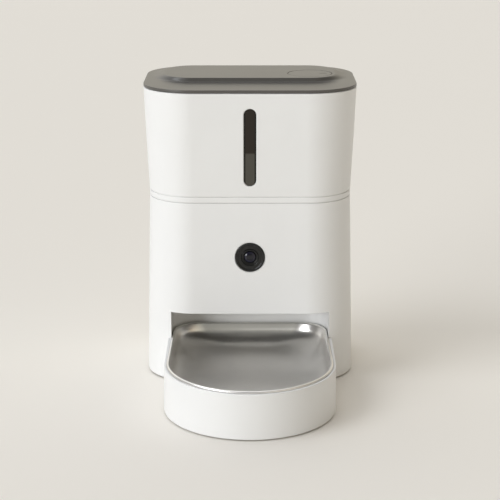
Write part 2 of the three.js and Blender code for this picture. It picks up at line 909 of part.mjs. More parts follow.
barrelProfile.push([0, lensSeat - lensCrown]);
piece(camera, "camera_barrel", turned(barrelProfile), finishes.blackTrim);
const lensProfile = [[0, lensSeat - lensCrown + fit]];
lensProfile.push([lensRadius, lensSeat - lensCrown + fit]);
for (let step = 0; step <= filletSteps; step++) {
  const angle = (Math.PI / 2) * (step / filletSteps);
  lensProfile.push([lensRadius * Math.cos(angle), lensSeat + lensCrown * Math.sin(angle)]);
}
piece(camera, "camera_lens", turned(lensProfile, smallSides), finishes.lensGlass);
const boardBack = -bezelDepth - fit - boardThickness;
const halfBoard = cameraBoardWidth / 2;
const halfSensor = sensorWidth / 2;
piece(
  camera,
  "camera_board",
  join(
    box(-halfBoard, halfBoard, -halfBoard, halfBoard, boardBack, boardBack + boardThickness),
    box(-halfSensor, halfSensor, -halfSensor, halfSensor, boardBack - sensorDepth, boardBack),
  ),
  finishes.board,
);

// Speaker, power inlet and reset button, each along +Z in a group that faces the back
function rearGroup(x, y, z) {
  const made = group(base, x, y, z);
  made.rotation.x = -Math.PI / 2;
  return made;
}

const speaker = rearGroup(0, speakerFaceY, speakerHeight);
const speakerFront = -shellWall - slip;
piece(
  speaker,
  "speaker",
  turned([
    [0, speakerFront - speakerDepth],
    [speakerMagnetRadius, speakerFront - speakerDepth],
    [speakerMagnetRadius, speakerFront - speakerDepth / 2],
    [speakerRadius, speakerFront - shellWall],
    [speakerRadius, speakerFront],
    [speakerRadius - collarWall, speakerFront],
    [speakerMagnetRadius / 2, speakerFront - speakerConeDepth],
    [0, speakerFront - speakerConeDepth + speakerDomeRise],
  ]),
  finishes.blackTrim,
);

const inlet = rearGroup(inletX, inletFaceY, inletHeight);
piece(
  inlet,
  "power_inlet",
  join(
    cut(
      join(
        rod(inletRadius, -inletDepth, 0),
        rod(inletRadius + buttonFlange, -shellWall - slip - buttonFlange, -shellWall - slip),
      ),
      rod(inletBore, buttonFlange - inletDepth, overrun),
    ),
    rod(inletPin, -inletDepth, -buttonFlange),
  ),
  finishes.blackTrim,
);

const button = rearGroup(buttonX, buttonFaceY, buttonHeight);
piece(
  button,
  "reset_button",
  join(
    turned(
      [
        [0, -shellWall - slip - buttonFlange],
        [buttonRadius, -shellWall - slip - buttonFlange],
        [buttonRadius, buttonProud - edgeSoftening],
        [buttonRadius - edgeSoftening, buttonProud],
        [0, buttonProud],
      ],
      smallSides,
    ),
    rod(buttonRadius + buttonFlange, -shellWall - slip - buttonFlange, -shellWall - slip),
  ),
  finishes.greyLid,
);
piece(
  button,
  "button_switch",
  box(-switchHalf, switchHalf, -switchHalf, switchHalf, switchFace - switchDepth, switchFace),
  finishes.board,
);

// Underside
const doorOpening = {
  minX: -batteryHalfWidth - doorMargin,
  maxX: batteryHalfWidth + doorMargin,
  minY: batteryFrontY - doorMargin,
  maxY: batteryRearY + doorMargin,
};

function bottomCover() {
  const plate = bodySlab(coverBottom, coverTop, innerInset);
  const latchHalf = doorLatchHalfWidth + slip;
  const feet = footPlaces.map(([x, y]) => rod(footRadius + fit, -overrun, coverBottom + footSeat, x, y));
  const screws = postPlaces.flatMap(([x, y]) => [
    rod(screwHeadRadius + fit, -overrun, coverBottom + screwHead, x, y),
    rod(screwShank + fit, -overrun, tankTop, x, y),
  ]);
  return cut(
    plate,
    alcoveBlock(-overrun, tankTop),
    box(doorOpening.minX, doorOpening.maxX, doorOpening.minY, doorOpening.maxY, 0, tankTop),
    box(-latchHalf, latchHalf, 0, doorOpening.maxY + doorLatchReach + slip, 0, tankTop),
    ...feet,
    ...screws,
  );
}

piece(base, "bottom_cover", bottomCover(), finishes.innerWhite);

const boxLow = coverTop + fit;
const boxTop = boxLow + batteryBoxHeight;
const batteryOutline = {
  halfWidth: batteryHalfWidth,
  halfDepth: (batteryRearY - batteryFrontY) / 2,
  radius: batteryWall,
  y: (batteryRearY + batteryFrontY) / 2,
};
const cornerX = boardHalfWidth - boardPostRadius;
const boardFrontY = batteryFrontY + boardFrontMargin;
const boardRearY = batteryRearY - boardRearMargin;
const boardPosts = [-cornerX, cornerX].flatMap((x) => [
  [x, boardFrontY + boardPostRadius],
  [x, boardRearY - boardPostRadius],
]);
piece(
  base,
  "battery_box",
  cut(
    join(
      block(batteryOutline, boxLow, boxTop, -batteryWall, smallCornerSteps),
      block(batteryOutline, boxLow, boxLow + batteryWall, -batteryFlange, smallCornerSteps),
      ...boardPosts.map(([x, y]) => rod(boardPostRadius, boxTop - batteryWall, boxTop + boardPost, x, y)),
    ),
    block(batteryOutline, boxLow - overrun, boxTop - batteryWall, 0, smallCornerSteps),
  ),
  finishes.innerWhite,
);

// Contact strips on the two end walls, one cone for each cell
function contactStrip() {
  const half = cellPitch + contactWidth / 2;
  const strip = box(-half, half, 0, contactThickness, -contactWidth / 2, contactWidth / 2);
  const cones = [-1, 0, 1].map((place) => {
    const cone = new THREE.CylinderGeometry(contactCone / 2, contactCone, contactConeHeight, smallSides);
    cone.translate(place * cellPitch, contactThickness + contactConeHeight / 2 - fit, 0);
    return solid(cone);
  });
  return join(strip, ...cones);
}

for (const [name, y, turn] of [
  ["battery_contacts_front", batteryFrontY + fit, 0],
  ["battery_contacts_rear", batteryRearY - fit, Math.PI],
]) {
  const strip = group(base, 0, y, boxLow + contactHeight);
  strip.rotation.z = turn;
  piece(strip, name, contactStrip(), finishes.plainSteel);
}

const doorNose = doorThickness / 2;
const door = group(base, 0, doorOpening.minY + fit + doorNose, coverBottom + fit + doorNose);
const doorHalf = doorOpening.maxX - slip;
const doorReach = doorOpening.maxY - slip - door.position.y;
const doorNoseRod = new THREE.CylinderGeometry(doorNose, doorNose, doorHalf * 2, smallSides);
piece(
  door,
  "battery_door",
  cut(
    join(
      box(-doorHalf, doorHalf, 0, doorReach, -doorNose, doorNose),
      solid(doorNoseRod.rotateZ(Math.PI / 2)),
      box(-doorLatchHalfWidth, doorLatchHalfWidth, 0, doorReach + doorLatchReach, -doorNose, doorNose),
    ),
    box(
      -doorLatchHalfWidth / 2,
      doorLatchHalfWidth / 2,
      doorReach - doorLatchReach,
      doorReach,
      -doorNose - overrun,
      doorRibHeight - doorNose,
    ),
  ),
  finishes.innerWhite,
);

for (const [index, [x, y]] of footPlaces.entries()) {
  const foot = group(base, x, y, 0);
  const names = ["foot_left_front", "foot_left_rear", "foot_right_front", "foot_right_rear"];
  piece(
    foot,
    names[index],
    turned(
      [
        [0, 0],
        [footRadius - edgeSoftening, 0],
        [footRadius, edgeSoftening],
        [footRadius, coverBottom + footSeat - fit],
        [0, coverBottom + footSeat - fit],
      ],
      smallSides,
    ),
    finishes.rubber,
  );
}

for (const [index, [x, y]] of postPlaces.entries()) {
  const screw = group(base, x, y, coverBottom);
  const names = ["screw_left_front", "screw_left_rear", "screw_right_front", "screw_right_rear"];
  piece(
    screw,
    names[index],
    cut(
      join(
        rod(screwHeadRadius, fit, screwHead - fit),
        rod(screwShank, fit, coverThickness + screwLength, 0, 0, smallSides / 2),
      ),
      box(-screwHeadRadius / 2, screwHeadRadius / 2, -fit, fit, -overrun, screwHead / 2),
    ),
    finishes.plainSteel,
  );
}

const boardLow = boxTop + boardPost + fit;
const boardTop = boardLow + boardThickness;
const chipY = pinionY / 2;
piece(
  base,
  "control_board",
  join(
    box(-boardHalfWidth, boardHalfWidth, boardFrontY, boardRearY, boardLow, boardTop),
    box(-chipHalf, chipHalf, chipY - chipHalf, chipY + chipHalf, boardTop - fit, boardTop + boardThickness),
    box(boardHalfWidth / 2, boardHalfWidth - boardPost, 0, pinionY, boardTop - fit, boardTop + boardPost),
    rod(boardPost, boardTop - fit, boardTop + capacitorHeight, -boardHalfWidth / 2, boardRearY / 2),
  ),
  finishes.board,
);

// Tank: shell, window, hopper and floor
const hopperFlangeTop = tankTop - hopperTopGap;
const hopperFlangeLow = hopperFlangeTop - hopperFlange;
const ledgeTopZ = hopperFlangeLow - fit;
const windowBottom = tankLow + windowFootMargin;
const windowTop = tankTop - windowHeadMargin;
const windowMiddle = (windowTop + windowBottom) / 2;

// A stadium-shaped tool through the front wall
function stadium(width, bottom, top) {
  const radius = width / 2;
  const shape = new THREE.Shape();
  shape.absarc(0, top - radius - windowMiddle, radius, 0, Math.PI, false);
  shape.absarc(0, bottom + radius - windowMiddle, radius, Math.PI, Math.PI * 2, false);
  const geometry = new THREE.ExtrudeGeometry(shape, {
    depth: halfDepth,
    bevelEnabled: false,
    curveSegments: arcSteps,
  });
  geometry.rotateX(Math.PI / 2);
  geometry.translate(0, 0, windowMiddle);
  return solid(geometry);
}

function frontLayer(outer, inner) {
  return cut(
    bodyBlock(tankLow, tankTop, outer),
    bodyBlock(tankLow - overrun, tankTop + overrun, inner),
  );
}

piece(
  tank,
  "tank_shell",
  cut(
    join(
      cut(softBody(tankLow, tankTop), bodyBlock(tankLow - overrun, tankTop + overrun, shellWall)),
      cut(
        bodySlab(ledgeTopZ - ledgeHeight, ledgeTopZ, shellWall / 2),
        bodySlab(ledgeTopZ - overrun, ledgeTopZ + overrun, shellWall + ledgeDepth),
      ),
    ),
    stadium(windowWidth, windowBottom, windowTop),
  ),
  finishes.whiteShell,
);

const lipInset = innerInset + windowLipThickness;
piece(
  tank,
  "level_window",
  join(
    frontLayer(fit, lipInset).intersect(stadium(windowWidth - 2 * fit, windowBottom + fit, windowTop - fit)),
    frontLayer(innerInset, lipInset).intersect(
      stadium(windowWidth + 2 * windowLip, windowBottom - windowLip, windowTop + windowLip),
    ),
  ),
  finishes.smokedWindow,
);

const chamberOutline = { halfWidth: chamberRadius, halfDepth: chamberRadius, radius: chamberRadius };
const hopperLow = chamberTop + fit;

// The hopper's wall, straight above the funnel and round at its foot, grown outward by its thickness
function hopperBlock(growth, overTop, overFoot) {
  const rings = [];
  if (overFoot > 0) {
    rings.push(ring(chamberOutline, hopperLow - overFoot, -growth));
  }
  rings.push(ring(chamberOutline, hopperLow, -growth));
  const inset = hopperInset + hopperWall - growth;
  rings.push(bodyRing(funnelTop, inset));
  rings.push(bodyRing((funnelTop + hopperFlangeTop) / 2, inset));
  rings.push(bodyRing(hopperFlangeTop + overTop, inset));
  return loft(rings);
}

const mouthHalfWidth = halfWidth - hopperInset - hopperWall;
const tongueTop = lidLow - linerDepth - fit;
const keeperMiddle = tongueTop - tongueThickness / 2;
const hopperFlangeRing = bodySlab(hopperFlangeLow, hopperFlangeTop, innerInset);
piece(
  tank,
  "hopper",
  cut(
    join(hopperBlock(hopperWall, 0, 0), hopperFlangeRing),
    hopperBlock(0, overrun, overrun),
    stadium(windowWidth - 2 * sightMargin, funnelTop + sightMargin, windowTop - sightMargin),
    box(
      mouthHalfWidth - overrun,
      bodyWidth,
      knobY - keeperHalfLength,
      knobY + keeperHalfLength,
      keeperMiddle - keeperHeight / 2,
      keeperMiddle + keeperHeight / 2,
    ).intersect(bodyBlock(tankLow, tankTop, hopperInset - fit)),
  ),
  finishes.innerWhite,
);

const outletShape = sector(outletInner, outletOuter, outletAngle);
const plateOver = bandLow + floorPlate;

function tankFloor() {
  const band = softBody(bandLow, bandHigh);
  const tubInset = shellWall + innerInset;
  const tub = bodySlab(plateOver, bandHigh + overrun, tubInset);
  const spigotTop = tankLow + ledgeHeight;
  const spigot = cut(
    bodySlab(plateOver - fit, spigotTop, innerInset),
    bodySlab(plateOver, spigotTop + overrun, tubInset),
  );
  const chamber = rod(chamberRadius + chamberWall, chamberBottom, chamberTop, 0, 0, roundSides);
  const chamberInside = rod(chamberRadius, chamberBottom + chamberFloor, tankTop, 0, 0, roundSides);
  return cut(
    join(cut(band, tub), spigot, chamber),
    chamberInside,
    prism(outletShape, chamberBottom - overrun, chamberTop),
    rod(shaftHoleRadius, chamberBottom - overrun, chamberTop),
  );
}

piece(tank, "tank_floor", tankFloor(), finishes.whiteShell);

// Rotor, stirrer and shield
const shieldLow = hopperLow + fit;
const shieldTop = shieldLow + shieldThickness;
const rotor = group(tank, 0, 0, rotorLow);
const vaneHeight = chamberTop - slip - rotorLow;
const hubHeight = chamberTop + hubRise - rotorLow;
function vanes() {
  const reach = chamberRadius - 2 * slip;
  const made = [];
  for (let vane = 0; vane < vaneCount; vane++) {
    const blade = new THREE.BoxGeometry(reach - hubRadius / 2, vaneThickness, vaneHeight);
    blade.translate((reach + hubRadius / 2) / 2, 0, vaneHeight / 2);
    blade.rotateZ((2 * Math.PI * vane) / vaneCount);
    made.push(solid(blade));
  }
  return made;
}

const hubShoulder = shieldTop - rotorLow;
piece(
  rotor,
  "portion_rotor",
  cut(
    join(
      turned([
        [0, 0],
        [hubRadius, 0],
        [hubRadius, hubShoulder],
        [hubStubRadius, hubShoulder],
        [hubStubRadius, hubHeight],
        [0, hubHeight],
      ]),
      ...vanes(),
    ),
    prism(hexagon(dogFlats + 2 * fit), -overrun, dogDepth),
  ),
  finishes.gearPlastic,
);

// The stirrer's fingers sweep the funnel above the shield
const stirrerTop = hubHeight - hubShoulder;
const stirrerReach = chamberRadius - stirrerClearance;
function stirrerFingers() {
  const made = [];
  for (let finger = 0; finger < stirrerCount; finger++) {
    const angle = (2 * Math.PI * finger) / stirrerCount + Math.PI / 2;
    const path = new THREE.QuadraticBezierCurve3(
      new THREE.Vector3(hubRadius / 2, 0, stirrerArm),
      new THREE.Vector3(stirrerReach * stirrerBendShare, 0, stirrerArm / 2),
      new THREE.Vector3(stirrerReach, 0, stirrerRise),
    );
    const half = stirrerArm / 2;
    const section = new THREE.Shape();
    section.absarc(0, 0, half, 0, Math.PI * 2, false);
    const arm = new THREE.ExtrudeGeometry(section, {
      steps: armSteps,
      extrudePath: path,
      curveSegments: armSides,
    });
    arm.rotateZ(angle);
    made.push(solid(arm));
  }
  return made;
}

const stirrer = group(rotor, 0, 0, hubShoulder + fit);
piece(
  stirrer,
  "stirrer",
  cut(
    join(
      turned([
        [0, 0],
        [hubRadius, 0],
        [hubRadius, stirrerArm],
        [hubStubRadius + stirrerWall, stirrerTop],
        [hubStubRadius, stirrerTop + stirrerWall],
        [0, stirrerTop + stirrerWall],
      ]),
      ...stirrerFingers(),
    ),
    rod(hubStubRadius + fit, -overrun, stirrerTop, 0, 0, roundSides),
  ),
  finishes.stirrerGreen,
);

piece(
  tank,
  "outlet_shield",
  prism(sector(hubRadius + 2 * slip, chamberRadius - 2 * slip, shieldAngle), shieldLow, shieldTop),
  finishes.innerWhite,
);

// Lid
const deckLow = lidRimTop - lidEdge;
const deckOutline = {
  halfWidth: deckHalfWidth,
  halfDepth: (deckRearY - deckFrontY) / 2,
  radius: ((deckRearY - deckFrontY) / 2) * deckCornerShare,
  y: (deckRearY + deckFrontY) / 2,
};
const skirtFrontY = deckFrontY - deckSkirtFront;
const skirtRearY = deckRearY + deckSkirtSide;
const skirtOutline = {
  halfWidth: deckHalfWidth + deckSkirtSide,
  halfDepth: (skirtRearY - skirtFrontY) / 2,
  radius: ((skirtRearY - skirtFrontY) / 2) * skirtCornerShare,
  y: (skirtRearY + skirtFrontY) / 2,
};

// Rings from the skirt up to the deck, easing out of the rim and into the deck
function deckRings(lowest, drop, inset, steps) {
  const rings = [ring(skirtOutline, lowest, inset)];
  for (let step = 0; step <= steps; step++) {
    const share = step / steps;
    const eased = (1 - Math.cos(Math.PI * share)) / 2;
    const foot = ring(skirtOutline, lidRimTop - drop + deckRise * eased, inset);
    const head = ring(deckOutline, 0, inset);
    rings.push(
      foot.map((point, index) => {
        const target = new THREE.Vector3(head[index].x, head[index].y, point.z);
        return point.lerp(target, share);
      }),
    );
  }
  return rings;
}

const knobLow = deckLevel - knobThickness;
const knobSeatRadius = knobRadius + fit + edgeSoftening / 2;
const stemHole = knobStemRadius + fit;
function lidShell() {
  const rim = loft([
    bodyRing(lidLow, edgeSoftening),
    bodyRing(lidLow + edgeSoftening),
    bodyRing(deckLow),
    bodyRing(lidRimTop, lidEdge),
  ]);
  const underRim = bodySlab(lidLow - overrun, lidRimTop - lidWall, lidRimInset);
  const underDeck = loft(deckRings(lidLow - overrun, lidWall, lidWall, 1));
  const cupFloor = knobLow - fit - knobCupWall;
  return cut(
    join(
      cut(join(rim, loft(deckRings(deckLow, 0, 0, filletSteps))), underRim, underDeck),
      rod(knobSeatRadius + knobCupWall, cupFloor, knobLow, knobX, knobY, roundSides),
    ),
    rod(knobSeatRadius, knobLow - fit, deckLevel + overrun, knobX, knobY, roundSides),
    rod(stemHole, lidLow - overrun, deckLevel, knobX, knobY, roundSides),
  );
}

piece(lid, "lid_shell", lidShell(), finishes.greyLid);

const panFloor = lidLow - linerDepth;
const panTop = lidRimTop - lidWall - fit;
const panInset = hopperInset + hopperWall + linerClearance;
const gasketLow = panFloor + linerWall;
const gasketHigh = gasketLow + gasketHeight;
piece(
  lid,
  "lid_liner",
  cut(
    bodySlab(panFloor, panTop, panInset),
    bodySlab(panFloor + linerWall, panTop + overrun, panInset + linerWall),
    rod(stemHole, 0, deckLevel, knobX, knobY, roundSides),
  ),
  finishes.innerWhite,
);
piece(
  lid,
  "lid_gasket",
  cut(
    bodySlab(gasketLow, gasketHigh, panInset - gasketThickness + fit / 2),
    bodySlab(gasketLow - overrun, gasketHigh + overrun, panInset - fit),
  ),
  finishes.darkSeal,
);

const cup = group(lid, cupSideMargin - deckHalfWidth, 0, panFloor - fit);
const cupInner = cupRadius - cupWall;
piece(
  cup,
  "desiccant_cup",
  cut(
    rod(cupRadius, -cupDepth, 0, 0, 0, roundSides),
    rod(cupInner, -cupDepth - overrun, -cupWall, 0, 0, roundSides),
  ),
  finishes.innerWhite,
);
const cupCap = group(cup, 0, 0, -cupDepth);
const capRadius = cupInner - slip;
function capSlots() {
  const made = [];
  for (let slot = 0; slot < cupSlotCount; slot++) {
    const length = capRadius - cupSlotStart - cupWall;
    const cutter = new THREE.BoxGeometry(length, cupSlotWidth, 2 * (cupCapThickness + overrun));
    cutter.translate(cupSlotStart + length / 2, 0, 0);
    cutter.rotateZ((Math.PI * (2 * slot + 1)) / cupSlotCount);
    made.push(solid(cutter));
  }
  return made;
}
const gripHalf = cupGripWidth / 2;
piece(
  cupCap,
  "desiccant_cap",
  join(
    cut(rod(capRadius, 0, cupCapThickness, 0, 0, roundSides), ...capSlots()),
    box(-cupInner / 2, cupInner / 2, -gripHalf, gripHalf, -cupGripHeight, cupCapThickness / 2),
  ),
  finishes.greyLid,
);

const knob = group(lid, knobX, knobY, 0);
piece(
  knob,
  "lock_knob",
  cut(
    join(
      turned([
        [0, knobLow],
        [knobRadius, knobLow],
        [knobRadius, deckLevel - edgeSoftening],
        [knobRadius - edgeSoftening, deckLevel],
        [0, deckLevel],
      ]),
      rod(knobStemRadius, tongueTop - fit, knobLow + fit, 0, 0, roundSides),
    ),
    rod(lockScrewShank + fit, tongueTop - overrun, tongueTop + lockScrewDepth),
  ),
  finishes.greyLid,
);
const tongueReach = halfWidth - hopperInset - fit - knobX;
const tongueShape = new THREE.Shape();
tongueShape.absarc(0, 0, knobStemRadius + tongueHalfWidth / 2, 0, Math.PI, false);
tongueShape.absarc(0, tongueHalfWidth - tongueReach, tongueHalfWidth, Math.PI, Math.PI * 2, false);
const tongueLow = tongueTop - tongueThickness - fit;
piece(
  knob,
  "lock_tongue",
  cut(
    prism(tongueShape, tongueLow, tongueTop - 2 * fit),
    rod(lockScrewShank + fit, 0, deckLevel),
  ),
  finishes.greyLid,
);
piece(
  knob,
  "lock_screw",
  join(
    rod(lockScrewRadius, tongueLow - fit - lockScrewHead, tongueLow - fit),
    rod(lockScrewShank, tongueLow - lockScrewHead, tongueTop + lockScrewDepth - slip, 0, 0, smallSides / 2),
  ),
  finishes.plainSteel,
);

// Tray: the part in front of the body and the part that reaches into the alcove
const trayFront = {
  radius: trayRadius,
  rearHalfWidth: trayRadius,
  arcY: trayArcY,
  rearY: alcoveRearY - trayShoulderSetback,
  corner: trayRearCorner,
};
const trayRearGap = (3 * slip) / 2;
const trayRear = {
  radius: alcoveHalfWidth - slip,
  rearHalfWidth: alcoveHalfWidth - slip,
  arcY: trayArcY,
  rearY: alcoveRearY - trayRearGap,
  corner: alcoveCornerRadius - slip,
};
const bowlOutline = {
  radius: trayRadius - bowlSideGap,
  rearHalfWidth: alcoveHalfWidth - bowlAlcoveGap,
  arcY: trayArcY,
  rearY: alcoveRearY - bowlRearGap,
  corner: bowlCornerRadius,
};
const cavityTop = traySeat - trayFlange;

function trayShell() {
  const front = cut(
    loft([
      dRing(trayFront, trayFoot, edgeSoftening),
      dRing(trayFront, trayFoot + edgeSoftening),
      dRing(trayFront, trayHeight - edgeSoftening, trayDraft),
      dRing(trayFront, trayHeight, trayDraft + edgeSoftening),
    ]),
    bodyBlock(-overrun, baseHeight, -slip),
    dBlock(bowlOutline, traySeat, trayHeight + overrun, -slip / 2),
  );
  const rear = dBlock(trayRear, trayFoot, traySeat);
  const frontCavity = cut(
    dBlock(trayFront, -overrun, cavityTop, trayWall + trayDraft),
    bodyBlock(-2 * overrun, baseHeight, -slip - trayWall),
  );
  const rearCavity = dBlock(trayRear, -overrun, cavityTop, trayWall - slip);
  const bowlHole = dBlock(bowlOutline, 0, trayHeight, beadRadius + fit);
  return cut(join(front, rear), frontCavity, rearCavity, bowlHole);
}

piece(tray, "tray_shell", trayShell(), finishes.whiteShell);

const trayFloorLow = trayFoot + fit;
piece(
  tray,
  "tray_floor",
  join(
    cut(
      dBlock(trayFront, trayFloorLow, trayFloorLow + trayFloorThickness, trayWall + trayDraft + fit),
      bodyBlock(-overrun, baseHeight, -slip - trayWall - fit),
    ),
    dBlock(trayRear, trayFloorLow, trayFloorLow + trayFloorThickness, trayWall - slip + fit),
  ),
  finishes.whiteShell,
);
const padSpread = trayRadius / 2;
for (const [name, x, y] of [
  ["tray_pad_front", 0, trayArcY - padSpread],
  ["tray_pad_left", -padSpread, trayArcY + padSpread],
  ["tray_pad_right", padSpread, trayArcY + padSpread],
]) {
  piece(group(tray, x, y, 0), name, rod(padRadius, 0, trayFoot), finishes.rubber);
}

// Bowl: one pressed sheet with a rolled bead, from its outer floor over the rim to its inner floor
const beadLevel = traySeat + fit + beadRadius;

function bowlWall(side) {
  const shift = side * bowlSheet;
  const points = [[bowlFootInset + shift, bowlFootHeight]];
  for (let step = 1; step <= bowlSteps; step++) {
    const angle = ((Math.PI / 2) * step) / bowlSteps;
    const inset = bowlFloorInset - (bowlFloorInset - bowlFootInset - shift) * Math.cos(angle);
    const rise = bowlFootHeight - bowlFloor - shift;
    points.push([inset, bowlFootHeight - rise * Math.sin(angle)]);
  }
  return points;
}

function steelBowl() {
  const outer = bowlWall(-1).reverse();
  const bead = [];
  for (let step = 0; step <= beadSteps; step++) {
    const angle = -Math.PI / 2 - (beadSweep * step) / beadSteps;
    bead.push([beadRadius * (1 + Math.cos(angle)), beadLevel + beadRadius * Math.sin(angle)]);
  }
  const inner = bowlWall(0);
  const rimFoot = [2 * beadRadius - bowlSheet, traySeat];
  const section = [...outer, rimFoot, ...bead, ...inner];
  return loft(section.map(([inset, z]) => dRing(bowlOutline, z, inset, bowlCornerShare)));
}

piece(bowl, "steel_bowl", steelBowl(), finishes.brushedSteel);

// The origin is under the middle of the whole feeder
feeder.position.y = (trayRadius - trayArcY - halfDepth) / 2;

export default feeder;
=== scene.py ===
"""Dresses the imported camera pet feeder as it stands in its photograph.

Every size is in millimetres round the body's middle, feet on z = 0, front towards -Y.
"""

import json
import logging
import math
from dataclasses import dataclass, field
from enum import Enum
from typing import Callable, ClassVar, Iterable, Sequence, Union

import bpy
from mathutils import Matrix, Vector


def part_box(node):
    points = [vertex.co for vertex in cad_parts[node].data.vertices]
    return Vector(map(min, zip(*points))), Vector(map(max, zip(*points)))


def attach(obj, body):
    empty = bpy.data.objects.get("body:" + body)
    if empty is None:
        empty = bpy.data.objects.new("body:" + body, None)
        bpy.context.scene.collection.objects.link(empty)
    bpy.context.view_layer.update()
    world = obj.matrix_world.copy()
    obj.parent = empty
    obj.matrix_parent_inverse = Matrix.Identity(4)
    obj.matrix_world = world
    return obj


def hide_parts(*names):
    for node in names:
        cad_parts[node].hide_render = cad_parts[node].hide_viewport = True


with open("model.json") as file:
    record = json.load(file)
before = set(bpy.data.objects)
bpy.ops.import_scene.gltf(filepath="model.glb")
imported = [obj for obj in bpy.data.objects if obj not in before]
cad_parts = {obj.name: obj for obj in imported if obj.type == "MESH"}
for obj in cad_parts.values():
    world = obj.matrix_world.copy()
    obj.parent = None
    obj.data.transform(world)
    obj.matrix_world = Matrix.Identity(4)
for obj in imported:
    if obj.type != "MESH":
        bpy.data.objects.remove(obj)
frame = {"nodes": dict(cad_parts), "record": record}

log = logging.getLogger("feeder")

MM = 0.001
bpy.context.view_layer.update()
BODY_Y = sum(corner.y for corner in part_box("tank_shell")) / 2 / MM
QUARTER = math.pi / 2
OVER = 5.0  # how far a cutter reaches past the face it opens
FIT = 0.3  # gap between two pieces that seat in each other

PREFIX = "feeder_"

Ring = list[Vector]
Pair = tuple[float, float]
Colour = tuple[float, float, float]


class Body(Enum):
    """The moving groups that pieces ride on."""

    BASE = "base"
    TANK = "tank"
    LID = "lid"
    LOCK = "lock"
    CAP = "cap"
    ROTOR = "rotor"
    DRIVE = "drive"
    PINION = "pinion"
    TRAY = "tray"
    BOWL = "bowl"
    DOOR = "door"
    BUTTON = "button"


class Slot(Enum):
    """The record's material slots."""

    WHITE_SHELL = "white_shell"
    INNER_WHITE = "inner_white"
    GREY_LID = "grey_lid"
    DARK_SEAL = "dark_seal"
    SMOKED_WINDOW = "smoked_window"
    BLACK_TRIM = "black_trim"
    LENS_GLASS = "lens_glass"
    CIRCUIT_BOARD = "circuit_board"
    GEAR_PLASTIC = "gear_plastic"
    PLAIN_STEEL = "plain_steel"
    SOFT_STIRRER = "soft_stirrer"
    SOFT_RUBBER = "soft_rubber"
    BOWL_STEEL = "bowl_steel"


# Outlines and sections


def arc(x: float, y: float, z: float, radius: float, start: float, sweep: float, steps: int) -> Ring:
    """Return points along an arc in a level plane, both ends included.

    Args:
        x: Centre, to the right.
        y: Centre, to the back.
        z: Height.
        radius: Radius of the arc.
        start: First angle, in radians.
        sweep: Angle covered, in radians.
        steps: Number of chords.

    Returns:
        The points in order.
    """
    angles = [start + sweep * step / steps for step in range(steps + 1)]
    return [Vector((x + radius * math.cos(a), y + radius * math.sin(a), z)) for a in angles]


def hoop(radius: float, z: float, sides: int) -> Ring:
    """Return the points of a level circle round the middle."""
    return arc(0, 0, z, radius, 0, 2 * math.pi, sides)[:-1]


def between(first: Ring, second: Ring, share: float) -> Ring:
    """Return the ring that lies a share of the way from one ring to another."""
    return [near.lerp(far, share) for near, far in zip(first, second)]


def flat(points: Iterable[Vector]) -> list[Pair]:
    """Return the first two coordinates of each point."""
    return [(point.x, point.y) for point in points]


def bent(first: Vector, pull: Vector, last: Vector, steps: int) -> list[Vector]:
    """Return points along a curve that leaves first towards pull and arrives at last."""
    shares = [step / steps for step in range(steps + 1)]
    return [first * (1 - s) ** 2 + pull * 2 * s * (1 - s) + last * s**2 for s in shares]


def softened(section: Sequence[tuple[float, ...]], closed: bool = True, steps: int = 3) -> list[Pair]:
    """Round the marked corners of a section.

    Args:
        section: Points, each with an optional third number, the run of its rounding.
        closed: Whether the last point joins the first.
        steps: Chords for each rounding.

    Returns:
        The section's points with the roundings laid out.
    """
    count = len(section)
    made: list[Pair] = []
    for index, point in enumerate(section):
        run = point[2] if len(point) > 2 else 0.0
        here = Vector(point[:2])
        if run <= 0 or (not closed and index in (0, count - 1)):
            made.append((here.x, here.y))
            continue
        before = Vector(section[index - 1][:2]) - here
        after = Vector(section[(index + 1) % count][:2]) - here
        reach = min(run, before.length * 0.49, after.length * 0.49)
        first = here + before.normalized() * reach
        last = here + after.normalized() * reach
        made += flat(bent(first, here, last, steps))
    return made


def rims(low: float, high: float, inset: float, edge: float) -> list[Pair]:
    """Return the outer side of a plate's section, with both rims rounded by an edge."""
    inner = inset + 20.0  # far enough in for any rounding
    return softened([(inner, low), (inset, low, edge), (inset, high, edge), (inner, high)], False)[1:-1]


def divided(section: Sequence[Pair], reach: float, closed: bool = True) -> list[Pair]:
    """Add points where a section's span is longer than a given reach.

    Args:
        section: Points of the section.
        reach: Longest span that stays whole.
        closed: Whether the last point joins the first.

    Returns:
        The section with its long spans split evenly.
    """
    made: list[Pair] = []
    last = len(section) if closed else len(section) - 1
    for index in range(last):
        here = Vector(section[index])
        there = Vector(section[(index + 1) % len(section)])
        parts = max(1, math.ceil((there - here).length / reach))
        made.extend(tuple(here.lerp(there, part / parts)) for part in range(parts))
    if not closed:
        made.append(tuple(section[-1]))
    return made


@dataclass(frozen=True)
class Outline:
    """A rounded rectangle seen from above."""

    half_width: float
    half_depth: float
    corner: float
    x: float = 0.0
    y: float = 0.0
    steps: int = 14

    def ring(self, z: float, inset: float = 0.0) -> Ring:
        """Return the outline at height z, drawn in by inset."""
        corner = max(self.corner - inset, 0.3)
        reach_x = self.half_width - inset - corner
        reach_y = self.half_depth - inset - corner
        points: Ring = []
        for turn, (side, end) in enumerate([(1, 1), (-1, 1), (-1, -1), (1, -1)]):
            x, y = self.x + side * reach_x, self.y + end * reach_y
            points += arc(x, y, z, corner, turn * QUARTER, QUARTER, self.steps)
        return points


